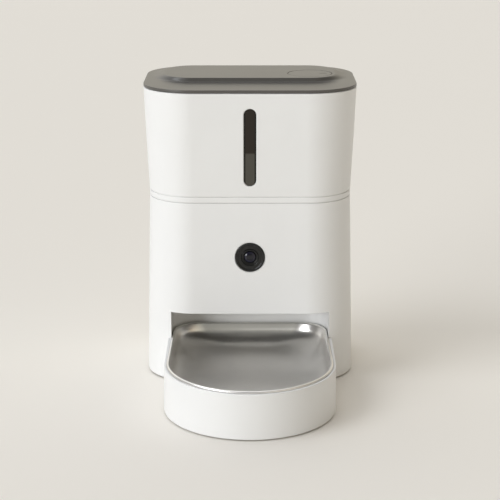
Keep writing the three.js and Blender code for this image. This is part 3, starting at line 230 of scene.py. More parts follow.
@dataclass(frozen=True)
class FrontRound:
    """A D seen from above: a round front, straight sides and a rounded rear."""

    radius: float
    rear_half: float
    arc_y: float
    rear_y: float
    corner: float
    corner_share: float = 1.0
    corner_steps: int = 12
    front_steps: int = 72

    def ring(self, z: float, inset: float = 0.0) -> Ring:
        """Return the outline at height z, drawn in by inset."""
        corner = max(self.corner - inset * self.corner_share, 0.5)
        x = self.rear_half - inset - corner
        y = self.rear_y - inset - corner
        points = arc(x, y, z, corner, 0, QUARTER, self.corner_steps)
        points += arc(-x, y, z, corner, QUARTER, QUARTER, self.corner_steps)
        points += arc(0, self.arc_y, z, self.radius - inset, math.pi, math.pi, self.front_steps)
        return points


Plan = Union[Outline, FrontRound]


def linked(name: str, data: bpy.types.ID) -> bpy.types.Object:
    """Return a new object in the scene."""
    made = bpy.data.objects.new(name, data)
    bpy.context.scene.collection.objects.link(made)
    return made


class Form:
    """A closed surface, or a set of them, in millimetres."""

    def __init__(self, points: Iterable[Vector], faces: Iterable[tuple[int, ...]]) -> None:
        """Keep the points, and the faces' vertex numbers, counterclockwise from outside."""
        self.points = list(points)
        self.faces = list(faces)

    @staticmethod
    def _bands(rings: Sequence[Ring], closed: bool) -> list[tuple[int, ...]]:
        """Return the quads that join each ring to the next."""
        count = len(rings[0])
        faces: list[tuple[int, ...]] = []
        for level in range(len(rings) if closed else len(rings) - 1):
            low, high = level * count, (level + 1) % len(rings) * count
            for index in range(count):
                after = (index + 1) % count
                faces.append((low + index, low + after, high + after, high + index))
        return faces

    @classmethod
    def loft(cls, rings: Sequence[Ring]) -> "Form":
        """Return the closed solid through rings that are listed from the bottom up."""
        count = len(rings[0])
        top = (len(rings) - 1) * count
        faces = cls._bands(rings, False)
        faces.append(tuple(reversed(range(count))))
        faces.append(tuple(range(top, top + count)))
        return cls([point for ring in rings for point in ring], faces)

    @classmethod
    def tube(cls, rings: Sequence[Ring]) -> "Form":
        """Return the closed band through rings whose last joins the first."""
        return cls([point for ring in rings for point in ring], cls._bands(rings, True))

    @classmethod
    def slab(cls, shape: "Plan", low: float, high: float, inset: float = 0.0, edge: float = 0.0) -> "Form":
        """Return a plate inside an outline, with both rims rounded by an edge."""
        return cls.loft([shape.ring(z, inset_at) for inset_at, z in rims(low, high, inset, edge)])

    @classmethod
    def swept(cls, path: Sequence[Vector], radius: float, sides: int = 24, cap: int = 5) -> "Form":
        """Return a round bar along a path in the XZ plane, with a domed far end."""
        rings: list[Ring] = []
        last = len(path) - 1
        for index in range(last + cap + 1):
            near, far = path[max(min(index, last) - 1, 0)], path[min(index + 1, last)]
            along = (far - near).normalized()
            across = Vector((along.z, 0.0, -along.x))
            rise = QUARTER * max(index - last, 0) / (cap + 0.2)
            middle = path[min(index, last)] + along * radius * math.sin(rise)
            reach = radius * math.cos(rise)
            loop = hoop(reach, 0, sides)
            rings.append([middle + across * spot.x + Vector((0, spot.y, 0)) for spot in loop])
        return cls.loft(rings)

    @classmethod
    def turned(cls, profile: Sequence[tuple[float, ...]], sides: int = 96, steps: int = 3) -> "Form":
        """Return a revolved solid.

        Args:
            profile: Radius, height and optional rounding, from the foot of the axis to its top.
            sides: Facets round the axis.
            steps: Chords for each rounding.

        Returns:
            The solid, with its axis on Z.
        """
        points: list[Vector] = []
        rows: list[list[int]] = []
        for radius, z in softened(profile, False, steps):
            if radius < 1e-6:
                rows.append([len(points)] * sides)
                points.append(Vector((0, 0, z)))
                continue
            rows.append(list(range(len(points), len(points) + sides)))
            points += hoop(radius, z, sides)
        faces: list[tuple[int, ...]] = []
        for low, high in zip(rows, rows[1:]):
            for index in range(sides):
                after = (index + 1) % sides
                corners = dict.fromkeys((low[index], low[after], high[after], high[index]))
                if len(corners) > 2:
                    faces.append(tuple(corners))
        return cls(points, faces)

    @classmethod
    def spun(cls, section: Sequence[tuple[float, ...]], sides: int = 96, steps: int = 3) -> "Form":
        """Return a ring from a closed section of radius and height pairs."""
        laid = softened(section, True, steps)
        return cls.tube([hoop(radius, z, sides) for radius, z in laid])

    @classmethod
    def prism(cls, outline: Sequence[Pair], low: float, high: float) -> "Form":
        """Return an upright prism on an outline seen from above, counterclockwise."""
        return cls.loft([[Vector((x, y, z)) for x, y in outline] for z in (low, high)])

    @classmethod
    def disc(
        cls, radius: float, low: float, high: float, foot: float, head: float, sides: int = 96
    ) -> "Form":
        """Return a round plate on Z, with its lower rim rounded by foot and its upper one by head."""
        return cls.turned([(0.0, low), (radius, low, foot), (radius, high, head), (0.0, high)], sides)

    @classmethod
    def block(cls, low: tuple[float, float, float], high: tuple[float, float, float]) -> "Form":
        """Return the box between two corners."""
        outline = [(low[0], low[1]), (high[0], low[1]), (high[0], high[1]), (low[0], high[1])]
        return cls.prism(outline, low[2], high[2])

    def moved(self, place: Matrix) -> "Form":
        """Return a copy moved by a matrix."""
        return Form([place @ point for point in self.points], self.faces)

    def at(self, x: float = 0.0, y: float = 0.0, z: float = 0.0) -> "Form":
        """Return a copy shifted by a distance."""
        return self.moved(Matrix.Translation((x, y, z)))

    def turned_by(self, angle: float, axis: str = "Z") -> "Form":
        """Return a copy turned about an axis through the middle."""
        return self.moved(Matrix.Rotation(angle, 4, axis))

    def piece(self, node: str) -> bpy.types.Object:
        """Return the new object that stands for a node."""
        return self.shape(PREFIX + node)

    @classmethod
    def of(cls, made: bpy.types.Object) -> "Form":
        """Return an object's surface as a form, and remove the object."""
        points = [spot.co / MM - Vector((0, BODY_Y, 0)) for spot in made.data.vertices]
        form = cls(points, [tuple(face.vertices) for face in made.data.polygons])
        bpy.data.objects.remove(made)
        return form

    def shape(self, name: str) -> bpy.types.Object:
        """Return a new object with this surface, in metres in the row's frame."""
        mesh = bpy.data.meshes.new(name)
        placed = [(p.x * MM, (p.y + BODY_Y) * MM, p.z * MM) for p in self.points]
        mesh.from_pydata(placed, [], self.faces)
        mesh.validate()
        return linked(name, mesh)


class Work:
    """Joins and cuts solids, then settles their shading."""

    @staticmethod
    def _settled(target: bpy.types.Object) -> None:
        """Apply the target's modifiers to its mesh."""
        graph = bpy.context.evaluated_depsgraph_get()
        made = bpy.data.meshes.new_from_object(target.evaluated_get(graph))
        old = target.data
        target.modifiers.clear()
        target.data = made
        made.name = target.name
        bpy.data.meshes.remove(old)

    @classmethod
    def _combined(cls, first: bpy.types.Object, tools: Sequence[Form], operation: str) -> bpy.types.Object:
        """Apply one boolean operation with each tool in turn."""
        helpers = []
        for index, tool in enumerate(tools):
            helper = tool.shape(f"tool_{index}")
            modifier = first.modifiers.new(f"step_{index}", "BOOLEAN")
            modifier.operation = operation
            modifier.solver = "MANIFOLD"
            modifier.object = helper
            helpers.append(helper)
        bpy.context.view_layer.update()
        cls._settled(first)
        for helper in helpers:
            mesh = helper.data
            bpy.data.objects.remove(helper)
            bpy.data.meshes.remove(mesh)
        return first

    @classmethod
    def cut(cls, first: bpy.types.Object, *tools: Form) -> bpy.types.Object:
        """Take each tool away from a solid."""
        return cls._combined(first, tools, "DIFFERENCE")

    @classmethod
    def join(cls, first: bpy.types.Object, *tools: Form) -> bpy.types.Object:
        """Fuse each tool with a solid."""
        return cls._combined(first, tools, "UNION")

    @classmethod
    def common(cls, first: bpy.types.Object, *tools: Form) -> bpy.types.Object:
        """Keep what a solid shares with each tool."""
        return cls._combined(first, tools, "INTERSECT")

    @classmethod
    def smooth(cls, target: bpy.types.Object, angle: float = 32.0) -> None:
        """Shade round faces smooth and keep flat faces flat.

        Args:
            target: Object to shade.
            angle: Edges sharper than this, in degrees, stay crisp.
        """
        target.data.shade_smooth()
        target.data.set_sharp_from_angle(angle=math.radians(angle))
        modifier = target.modifiers.new("weighted", "WEIGHTED_NORMAL")
        modifier.mode = "FACE_AREA"
        modifier.keep_sharp = True
        bpy.context.view_layer.update()
        cls._settled(target)


# The shared forms of the feeder


@dataclass(frozen=True)
class BodyForm:
    """The flared body that every shell follows, narrowest at the waist."""

    outline: Outline = Outline(110.0, 82.5, 52.0, steps=16)
    waist: float = 197.0
    top: float = 307.6
    drawn: float = 4.8
    ease: float = 1.1
    reach: float = 9.0  # longest span between two rings
    ledge_inset: Pair = (1.4, 4.5)

    def draw(self, z: float) -> float:
        """Return how far the sides draw in at height z."""
        share = z / self.waist if z < self.waist else (self.top - z) / (self.top - self.waist)
        return self.drawn * max(share, 0.0) ** self.ease

    def ring(self, z: float, inset: float = 0.0) -> Ring:
        """Return the body's outline at height z, drawn in further by inset."""
        return self.outline.ring(z, self.draw(z) + inset)

    def wall(self, section: Sequence[tuple[float, ...]]) -> Form:
        """Return a closed band from inset and height pairs, wound so that its faces look out."""
        laid = divided(softened(section), self.reach)
        return Form.tube([self.ring(z, inset) for inset, z in laid])

    def shell(self, low: float, high: float, thick: float, edge: float) -> Form:
        """Return an upright wall between two heights, its outer rims rounded by an edge."""
        return self.wall([(thick, low, 0.3), (0.0, low, edge), (0.0, high, edge), (thick, high, 0.3)])

    def ledge(self, low: float, high: float) -> Form:
        """Return the ledge inside a shell's wall between two heights."""
        outer, inner = self.ledge_inset
        return self.wall([(inner, low), (outer, low), (outer, high), (inner, high)])

    @staticmethod
    def chamfered(run: float, depth: float = 12.0) -> list[Pair]:
        """Return growth and inset of each ring of a chamfered front opening, from the inside out."""
        return [(0.0, depth), (0.0, run), (2 * run, -run)]

    def hull(self, low: float, high: float, inset: float = 0.0, edge: float = 0.0) -> Form:
        """Return the solid body between two heights, with rounded rims."""
        laid = divided(rims(low, high, inset, edge), self.reach, False)
        return Form.loft([self.ring(z, inset_at) for inset_at, z in laid])

    def front(self, z: float) -> float:
        """Return the front face's place in depth at height z."""
        return self.draw(z) - self.outline.half_depth

    def front_ring(self, outline: Sequence[Pair], inset: float) -> Ring:
        """Lay an outline of the front view on the front face, sunk by inset."""
        return [Vector((x, self.front(z) + inset, z)) for x, z in outline]


BODY = BodyForm()
ALCOVE = Outline(82.6, 70.5, 29.0, y=-94.5)
ALCOVE_TOP = 76.0
EYE_Z = 136.5
WITHIN = 3.1  # inset of what seats inside a shell
STEM_HOLE = 7.3


@dataclass(frozen=True)
class Stadium:
    """An upright slot with round ends in the front view."""

    width: float
    low: float
    high: float
    steps: int = 16
    spans: int = 8

    def points(self, grow: float = 0.0) -> list[Pair]:
        """Return the outline grown by a distance, counterclockwise as seen from the front."""
        radius = self.width / 2 + grow
        top = self.high - self.width / 2
        foot = self.low + self.width / 2
        upper = arc(0, top, 0, radius, 0, math.pi, self.steps)
        lower = arc(0, foot, 0, radius, math.pi, math.pi, self.steps)
        rise = [foot + (top - foot) * share / self.spans for share in range(1, self.spans)]
        down = [(-radius, z) for z in reversed(rise)]
        return flat(upper) + down + flat(lower) + [(radius, z) for z in rise]


def circle(radius: float, x: float = 0.0, y: float = 0.0, sides: int = 64) -> list[Pair]:
    """Return the points of a circle."""
    return flat(arc(x, y, 0, radius, 0, 2 * math.pi, sides)[:-1])


def rod(radius: float, low: float, high: float, x: float = 0.0, y: float = 0.0, sides: int = 64) -> Form:
    """Return an upright rod."""
    return Form.prism(circle(radius, x, y, sides), low, high)


def sector(inner: float, outer: float, angle: float, steps: int = 16) -> list[Pair]:
    """Return a ring sector that opens to the front."""
    start = -QUARTER - angle / 2
    there = arc(0, 0, 0, outer, start, angle, steps)
    return flat(there + arc(0, 0, 0, inner, start + angle, -angle, steps))


def capsule(run: float, half: float) -> list[Pair]:
    """Return a bar with round ends that lies along X."""
    return flat(arc(run, 0, 0, half, -QUARTER, math.pi, 8) + arc(-run, 0, 0, half, QUARTER, math.pi, 8))


def middle(node: str) -> Vector:
    """Return the middle of a node's box, in millimetres in the body's frame."""
    low, high = (Vector(corner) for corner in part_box(node))
    return (low + high) / 2 / MM - Vector((0, BODY_Y, 0))


def on(node: str, form: Form) -> Form:
    """Return a form moved onto the upright axis of a node."""
    spot = middle(node)
    return form.at(spot.x, spot.y)


def cross(run: float, half: float, low: float, high: float) -> list[Form]:
    """Return the two bars that cut a crossed recess."""
    bar = Form.prism(capsule(run, half), low, high)
    return [bar, bar.turned_by(QUARTER)]


def rear_face(node: str) -> float:
    """Return how far back a node reaches, in millimetres in the body's frame."""
    return max(Vector(corner).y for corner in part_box(node)) / MM - BODY_Y


def to_back(form: Form, x: float, y: float, z: float) -> Form:
    """Stand a form that points up so that it points out of the back."""
    return form.turned_by(-QUARTER, "X").at(x, y, z)


# Shader maths

Value = Union["Wire", float, int, Sequence[float]]


class Wire:
    """A node's output, whose operators add Math nodes."""

    def __init__(self, graph: "Graph", socket: bpy.types.NodeSocket) -> None:
        """Wrap a socket of a graph."""
        self.graph = graph
        self.socket = socket

    def maths(self, operation: str, *others: Value) -> "Wire":
        """Add one Math node with this wire as its first value."""
        return self.graph.node("Math", {"operation": operation}, dict(enumerate((self, *others))))

    def __add__(self, other: Value) -> "Wire":
        """Add."""
        return self.maths("ADD", other)

    __radd__ = __add__

    def __sub__(self, other: Value) -> "Wire":
        """Take away."""
        return self.maths("SUBTRACT", other)

    def __rsub__(self, other: Value) -> "Wire":
        """Take this from a value."""
        return self.graph.node("Math", {"operation": "SUBTRACT"}, {0: other, 1: self})

    def __mul__(self, other: Value) -> "Wire":
        """Multiply."""
        return self.maths("MULTIPLY", other)

    __rmul__ = __mul__

    def __truediv__(self, other: Value) -> "Wire":
        """Divide."""
        return self.maths("DIVIDE", other)

    def __pow__(self, other: Value) -> "Wire":
        """Raise to a power."""
        return self.maths("POWER", other)

    def step(self, low: float, high: float) -> "Wire":
        """Return a smooth step from 0 at low to 1 at high."""
        settings = {"interpolation_type": "SMOOTHSTEP"}
        return self.graph.node("MapRange", settings, {"Value": self, "From Min": low, "From Max": high})


class Graph:
    """The node tree of a material or of the world."""

    def __init__(self, name: str, owner: bpy.types.World | None = None) -> None:
        """Start with an empty tree, in a new material when no owner is given."""
        self.owner = owner or bpy.data.materials.new(name)
        self.owner.use_nodes = True
        self.tree = self.owner.node_tree
        self.tree.nodes.clear()

    def node(
        self, kind: str, settings: dict | None = None, inputs: dict | None = None, output: int | str = 0
    ) -> Wire:
        """Add a node.

        Args:
            kind: The node's type without its ShaderNode prefix.
            settings: Properties that are set first; "stops" holds a ramp's places and colours.
            inputs: Values or wires by socket name or number.
            output: The output to return.

        Returns:
            The chosen output.
        """
        made = self.tree.nodes.new("ShaderNode" + kind)
        for key, value in (settings or {}).items():
            if key == "stops":
                self._ramp(made.color_ramp, value)
            else:
                setattr(made, key, value)
        for key, value in (inputs or {}).items():
            self._feed(made.inputs[key], value)
        return Wire(self, made.outputs[output]) if made.outputs else None

    @staticmethod
    def _ramp(ramp: bpy.types.ColorRamp, stops: Sequence[tuple[float, Colour]]) -> None:
        """Lay a ramp's stops."""
        while len(ramp.elements) < len(stops):
            ramp.elements.new(0.5)
        for element, (place, colour) in zip(ramp.elements, stops):
            element.position = place
            element.color = (*colour, 1.0)

    def _feed(self, socket: bpy.types.NodeSocket, value: Value) -> None:
        """Link a wire to a socket, or set its value."""
        if isinstance(value, Wire):
            self.tree.links.new(value.socket, socket)
        elif socket.type == "RGBA" and not isinstance(value, (int, float)):
            socket.default_value = (*value[:3], 1.0)
        else:
            socket.default_value = value

    def vector(self, operation: str, inputs: dict, output: int | str = 0) -> Wire:
        """Add one Vector Math node."""
        return self.node("VectorMath", {"operation": operation}, inputs, output)

    def mix(self, share: Value, first: Value, second: Value) -> Wire:
        """Mix two colours by a share."""
        settings = {"data_type": "RGBA", "clamp_factor": True}
        return self.node("Mix", settings, {0: share, 6: first, 7: second}, 2)

    def place(self) -> Wire:
        """Return the point on the object, in metres."""
        return self.node("TexCoord", output="Object")

    def stretched(self, scale: tuple[float, float, float]) -> Wire:
        """Return the point on the object, scaled along each axis."""
        return self.vector("MULTIPLY", {0: self.place(), 1: scale})

    def axis(self, name: str) -> Wire:
        """Return one coordinate of the point on the object, in millimetres."""
        return self.node("SeparateXYZ", inputs={0: self.place()}, output=name) / MM

    def noise(self, size: float, detail: float = 2.0, vector: Wire | None = None) -> Wire:
        """Return noise round 0.5 with features of a size in millimetres."""
        inputs = {"Vector": vector or self.place(), "Scale": 1 / (size * MM), "Detail": detail}
        return self.node("TexNoise", None, inputs)

    def rounded(self, edge: float) -> Wire:
        """Return normals that round each edge by a run in millimetres."""
        return self.node("Bevel", {"samples": 6}, {"Radius": edge * MM})

    def bump(self, height: Wire, depth: float, strength: float, normal: Wire | None = None) -> Wire:
        """Return normals raised by a height between 0 and 1, depth in millimetres."""
        inputs = {"Height": height, "Distance": depth * MM, "Strength": strength}
        if normal:
            inputs["Normal"] = normal
        return self.node("Bump", None, inputs)

    def surface(self, **sockets: Value) -> bpy.types.Material:
        """Finish the material with one Principled shader.

        Args:
            **sockets: Values by socket name, with _ for each blank.

        Returns:
            The material.
        """
        inputs = {key.replace("_", " "): value for key, value in sockets.items()}
        shader = self.node("BsdfPrincipled", None, inputs)
        self.node("OutputMaterial", None, {"Surface": shader})
        return self.owner


def scaled(colour: Colour, by: float) -> Colour:
    """Return a colour made darker or lighter, no brighter than white."""
    return tuple(min(1.0, channel * by) for channel in colour)


@dataclass(frozen=True)
class Finish:
    """A finish that makes its material once."""

    known: ClassVar[dict[str, bpy.types.Material]] = {}

    name: str

    def material(self) -> bpy.types.Material:
        """Return the finish's material, made on its first use."""
        if self.name not in self.known:
            self.known[self.name] = self.made()
        return self.known[self.name]

    def made(self) -> bpy.types.Material:
        """Make the material."""
        raise NotImplementedError


@dataclass(frozen=True)
class Moulded(Finish):
    """Injection-moulded plastic with a fine spark-eroded grain."""

    colour: Colour
    roughness: float = 0.4
    grain: float = 0.45
    depth: float = 0.012
    mottle: float = 0.02
    edge: float = 0.45
    relief: float = 0.35
    # Band of heights, in millimetres, that gets painted shade, and the painted shade's colour
    painted_shade_from: float = 0.0
    painted_shade_to: float = 0.0
    painted_shade_colour: Colour = (0.06, 0.06, 0.058)

    def made(self) -> bpy.types.Material:
        """Mottle the colour, paint shade over any given band of heights, vary the gloss and lay the grain
        over rounded edges.
        """
        graph = Graph(self.name)
        cloud = graph.noise(34.0, 3.0)
        fine = graph.noise(self.grain, 3.0)
        dark, light = scaled(self.colour, 1 - self.mottle), scaled(self.colour, 1 + self.mottle)
        shade = graph.mix(cloud.step(0.3, 0.7), dark, light)
        # Painted shade: a dark band between two heights that stands in for the shade under the alcove's
        # roof
        if self.painted_shade_from:
            height = graph.axis("Z")
            above = height.step(self.painted_shade_from, self.painted_shade_from + 0.8)
            beyond = height.step(self.painted_shade_to, self.painted_shade_to + 0.1)
            shade = graph.mix(above * (1 - beyond), shade, self.painted_shade_colour)
        return graph.surface(
            Base_Color=shade,
            Roughness=self.roughness + 0.07 * (fine - 0.5) + 0.05 * (cloud - 0.5),
            Normal=graph.bump(fine, self.depth, self.relief, graph.rounded(self.edge)),
        )


@dataclass(frozen=True)
class Gloss(Finish):
    """Polished dark plastic with faint moulding ripple and dust."""

    colour: Colour
    roughness: float = 0.12
    reflection: float = 0.35
    edge: float = 0.3

    def made(self) -> bpy.types.Material:
        """Ripple the surface and dull it where dust lies."""
        graph = Graph(self.name)
        ripple = graph.noise(9.0, 1.0)
        dust = graph.noise(1.3, 5.0).step(0.62, 0.8)
        lifted = tuple(channel * 1.6 + 0.01 for channel in self.colour)
        return graph.surface(
            Base_Color=graph.mix(0.25 * dust, self.colour, lifted),
            Roughness=self.roughness + 0.12 * dust,
            Specular_IOR_Level=self.reflection,
            Normal=graph.bump(ripple, 0.02, 0.2, graph.rounded(self.edge)),
        )


@dataclass(frozen=True)
class Smoked(Finish):
    """Smoked acrylic that shows the hopper's wall behind its lower half."""

    upper: Colour
    lower: Colour
    border: Colour
    level: float
    half_width: float
    blend: float = 1.2
    rim_outer: float = 1.1
    rim_inner: float = 1.7
    roughness: float = 0.14
    reflection: float = 0.25

    def made(self) -> bpy.types.Material:
        """Shade the window by height, darker along its border."""
        graph = Graph(self.name)
        height = graph.axis("Z")
        across = graph.axis("X").maths("ABSOLUTE")
        rim = across.step(self.half_width - self.rim_inner, self.half_width - self.rim_outer)
        emptied = height.step(self.level - self.blend, self.level + self.blend)
        body = graph.mix(emptied, self.lower, self.upper)
        dust = graph.noise(1.1, 5.0).step(0.6, 0.85)
        return graph.surface(
            Base_Color=graph.mix(rim, body, self.border),
            Roughness=self.roughness + 0.1 * dust,
            Specular_IOR_Level=self.reflection,
            Normal=graph.bump(graph.noise(14.0, 1.0), 0.02, 0.15, graph.rounded(0.4)),
        )


@dataclass(frozen=True)
class Steel(Finish):
    """Sheet or turned steel with fine drawn lines."""

    colour: Colour
    roughness: float = 0.3
    line: float = 0.25
    stretch: tuple[float, float, float] = (1.0, 1.0, 14.0)
    streak: float = 0.08
    edge: float = 0.3
    polish: float = 1.0

    def made(self) -> bpy.types.Material:
        """Draw fine lines, cloud the gloss and leave faint smudges."""
        graph = Graph(self.name)
        lines = graph.noise(self.line, 2.0, graph.stretched(self.stretch))
        cloud = graph.noise(22.0, 3.0)
        smudge = graph.noise(7.0, 4.0).step(0.5, 0.75)
        return graph.surface(
            Base_Color=graph.mix(cloud.step(0.35, 0.65), scaled(self.colour, 0.97), self.colour),
            Metallic=self.polish,
            Roughness=self.roughness + self.streak * (lines - 0.5) + 0.02 * smudge,
            Normal=graph.bump(lines, 0.002, 0.2, graph.rounded(self.edge)),
        )


@dataclass(frozen=True)
class Elastic(Finish):
    """Matt rubber or silicone with a chalky bloom."""

    colour: Colour
    roughness: float = 0.75
    bloom: float = 0.35

    def made(self) -> bpy.types.Material:
        """Bloom the raised grain a little paler."""
        graph = Graph(self.name)
        grain = graph.noise(0.8, 4.0)
        cloud = graph.noise(12.0, 3.0)
        pale = tuple(channel + (0.6 - channel) * 0.18 for channel in self.colour)
        return graph.surface(
            Base_Color=graph.mix(self.bloom * cloud.step(0.35, 0.75), self.colour, pale),
            Roughness=self.roughness + 0.12 * (grain - 0.5),
            Normal=graph.bump(grain, 0.05, 0.3, graph.rounded(0.4)),
        )


@dataclass(frozen=True)
class LensGlass(Finish):
    """A coated lens that goes from violet at its rim to black at its middle."""

    centre_z: float
    radius: float

    def made(self) -> bpy.types.Material:
        """Tint the glass by the distance from its axis."""
        graph = Graph(self.name)
        across = graph.axis("X")
        rise = graph.axis("Z") - self.centre_z
        reach = (across * across + rise * rise) ** 0.5
        stops = [
            (0.0, (0.002, 0.002, 0.004)),
            (0.45, (0.005, 0.005, 0.01)),
            (0.8, (0.016, 0.015, 0.032)),
            (1.0, (0.008, 0.008, 0.012)),
        ]
        tint = graph.node("ValToRGB", {"stops": stops}, {0: reach / self.radius})
        return graph.surface(Base_Color=tint, Roughness=0.04, Coat_Weight=0.3, Coat_Roughness=0.02, IOR=1.4)


@dataclass(frozen=True)
class BoardGreen(Finish):
    """Solder-masked board with faint copper tracks under the mask."""

    mask: Colour = (0.012, 0.07, 0.035)
    track: Colour = (0.03, 0.13, 0.06)

    def made(self) -> bpy.types.Material:
        """Lay square tracks and pads from two bands of cells."""
        graph = Graph(self.name)
        tiles = {"Vector": graph.place(), "Scale": 160.0, "Mortar Size": 0.03}
        cells = graph.node("TexBrick", None, tiles, 1)
        grain = graph.noise(0.5, 3.0)
        return graph.surface(
            Base_Color=graph.mix(cells, self.mask, self.track),
            Roughness=0.38 + 0.12 * (grain - 0.5),
            Normal=graph.bump(cells, 0.03, 0.4, graph.rounded(0.2)),
        )


FINISHES: dict[Slot, Finish] = {
    Slot.WHITE_SHELL: Moulded("satin_white", (0.86, 0.86, 0.85), 0.38, mottle=0.005),
    # The liner's roof, 75 to 78.3 mm up, gets painted shade
    Slot.INNER_WHITE: Moulded(
        "bright_white", (0.9, 0.895, 0.88), 0.45, mottle=0.01, painted_shade_from=75.0, painted_shade_to=78.3
    ),
    Slot.GREY_LID: Moulded("warm_grey", (0.1, 0.095, 0.086), 0.3, depth=0.006, mottle=0.02),
    Slot.DARK_SEAL: Elastic("dark_silicone", (0.03, 0.03, 0.03)),
    Slot.SMOKED_WINDOW: Smoked(
        "smoked_acrylic", (0.024, 0.018, 0.013), (0.075, 0.07, 0.057), (0.012, 0.011, 0.009), 246.0, 6.1
    ),
    Slot.BLACK_TRIM: Gloss("black_gloss", (0.014, 0.014, 0.013), 0.22),
    Slot.LENS_GLASS: LensGlass("coated_lens", EYE_Z, 6.2),
    Slot.CIRCUIT_BOARD: BoardGreen("green_board"),
    Slot.GEAR_PLASTIC: Moulded("natural_acetal", (0.68, 0.64, 0.53), 0.4, mottle=0.04),
    Slot.PLAIN_STEEL: Steel("zinc_steel", (0.55, 0.55, 0.56), 0.32),
    Slot.SOFT_STIRRER: Elastic("green_silicone", (0.27, 0.42, 0.38), 0.55),
    Slot.SOFT_RUBBER: Elastic("black_rubber", (0.035, 0.035, 0.035)),
    Slot.BOWL_STEEL: Steel(
        "satin_steel", (0.97, 0.95, 0.915), 0.29, 0.3, (1.0, 1.0, 5.0), 0.04, polish=0.9
    ),
}


def dress(mesh: bpy.types.Mesh, slot: Slot) -> None:
    """Give a mesh the finish of a slot."""
    mesh.materials.clear()
    mesh.materials.append(FINISHES[slot].material())


# Sub-assemblies


@dataclass
class Assembly:
    """A group of pieces that are built, dressed and seated together."""

    dressed: list[tuple[bpy.types.Object, Slot]] = field(default_factory=list, init=False)

    def seat(self, made: bpy.types.Object, body: Body, slot: Slot, angle: float = 32.0) -> None:
        """Shade a piece, let it ride on its body and stand for the node that it is named after.

        Args:
            made: The finished object.
            body: Group that carries it.
            slot: Material slot of the record.
            angle: Sharpest edge that stays smooth, in degrees.
        """
        Work.smooth(made, angle)
        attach(made, body.value)
        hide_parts(made.name.removeprefix(PREFIX))
        self.dressed.append((made, slot))
        log.info("%s: %d faces", made.name, len(made.data.polygons))

    def build(self) -> None:
        """Build the pieces."""
        raise NotImplementedError

    def dress(self) -> None:
        """Give each piece the finish of its slot."""
        for made, slot in self.dressed:
            dress(made.data, slot)


@dataclass
class Shell(Assembly):
    """A white wall that follows the body, with a ledge inside it."""

    low: float = 0.0
    top: float = 0.0
    ledge_low: float = 0.0
    ledge: float = 3.0
    wall: float = 2.8
    edge: float = 0.7
    chamfer: float = 0.6

    def walled(self, node: str) -> bpy.types.Object:
        """Return the wall with its ledge, as the object that stands for a node."""
        shell = BODY.shell(self.low, self.top, self.wall, self.edge).piece(node)
        return Work.join(shell, BODY.ledge(self.ledge_low, self.ledge_low + self.ledge))


@dataclass
class BaseShell(Shell):
    """The white base with its alcove, camera hole, grille and ports."""

    low: float = 1.6
    top: float = 193.5
    ledge_low: float = 179.7
    camera_hole: float = 15.4
    port_x: float = 40.0
    port_z: float = 22.0
    inlet_hole: float = 5.9
    button_hole: float = 4.3
    grille_z: float = 120.0
    grille_pitch: float = 6.0
    grille_places: tuple[int, ...] = (-2, -1, 0, 1, 2)
    slot_width: float = 2.4
    slot_length: float = 26.0

    def build(self) -> None:
        """Build the shell and cut its openings."""
        rings = []
        for grow, inset in BODY.chamfered(self.chamfer):
            rings.append(BODY.front_ring(circle(self.camera_hole + grow, 0, EYE_Z), inset))
        tools = [Form.slab(ALCOVE, -OVER, ALCOVE_TOP), Form.loft(rings)]
        back = BODY.outline.half_depth
        for x, radius in [(self.port_x, self.inlet_hole), (-self.port_x, self.button_hole)]:
            tools.append(to_back(rod(radius, -2 * OVER, 2 * OVER), x, back, self.port_z))
        run = (self.slot_length - self.slot_width) / 2
        slot = Form.prism(capsule(run, self.slot_width / 2), -2 * OVER, 2 * OVER)
        for place in self.grille_places:
            tools.append(to_back(slot, 0, back, self.grille_z + place * self.grille_pitch))
        self.seat(Work.cut(self.walled("base_shell"), *tools), Body.BASE, Slot.WHITE_SHELL)


@dataclass
class TankShell(Shell):
    """The white tank with its window slot."""

    low: float = 200.5
    top: float = 307.6
    ledge_low: float = 300.9
    window: Stadium = Stadium(12.8, 211.7, 292.1)

    def build(self) -> None:
        """Build the shell and cut the window's slot with its chamfer."""
        rows = BODY.chamfered(self.chamfer)
        slot = Form.loft([BODY.front_ring(self.window.points(grow), inset) for grow, inset in rows])
        self.seat(Work.cut(self.walled("tank_shell"), slot), Body.TANK, Slot.WHITE_SHELL)


@dataclass
class LevelWindow(Assembly):
    """The smoked window with the lip that holds it from behind."""

    slot: Stadium = Stadium(12.2, 212.0, 291.8)
    sink: float = 0.3
    lip: float = 2.7
    lip_face: float = 3.1
    back: float = 4.3

    def build(self) -> None:
        """Build the plug with its rounded face and its lip."""
        rows = [(self.lip, self.back), (self.lip, self.lip_face), (0.0, self.lip_face)]
        rows += [(0.0, self.sink + 0.4), (-0.12, self.sink + 0.12), (-0.45, self.sink)]
        rings = [BODY.front_ring(self.slot.points(grow), inset) for grow, inset in rows]
        self.seat(Form.loft(rings).piece("level_window"), Body.TANK, Slot.SMOKED_WINDOW)


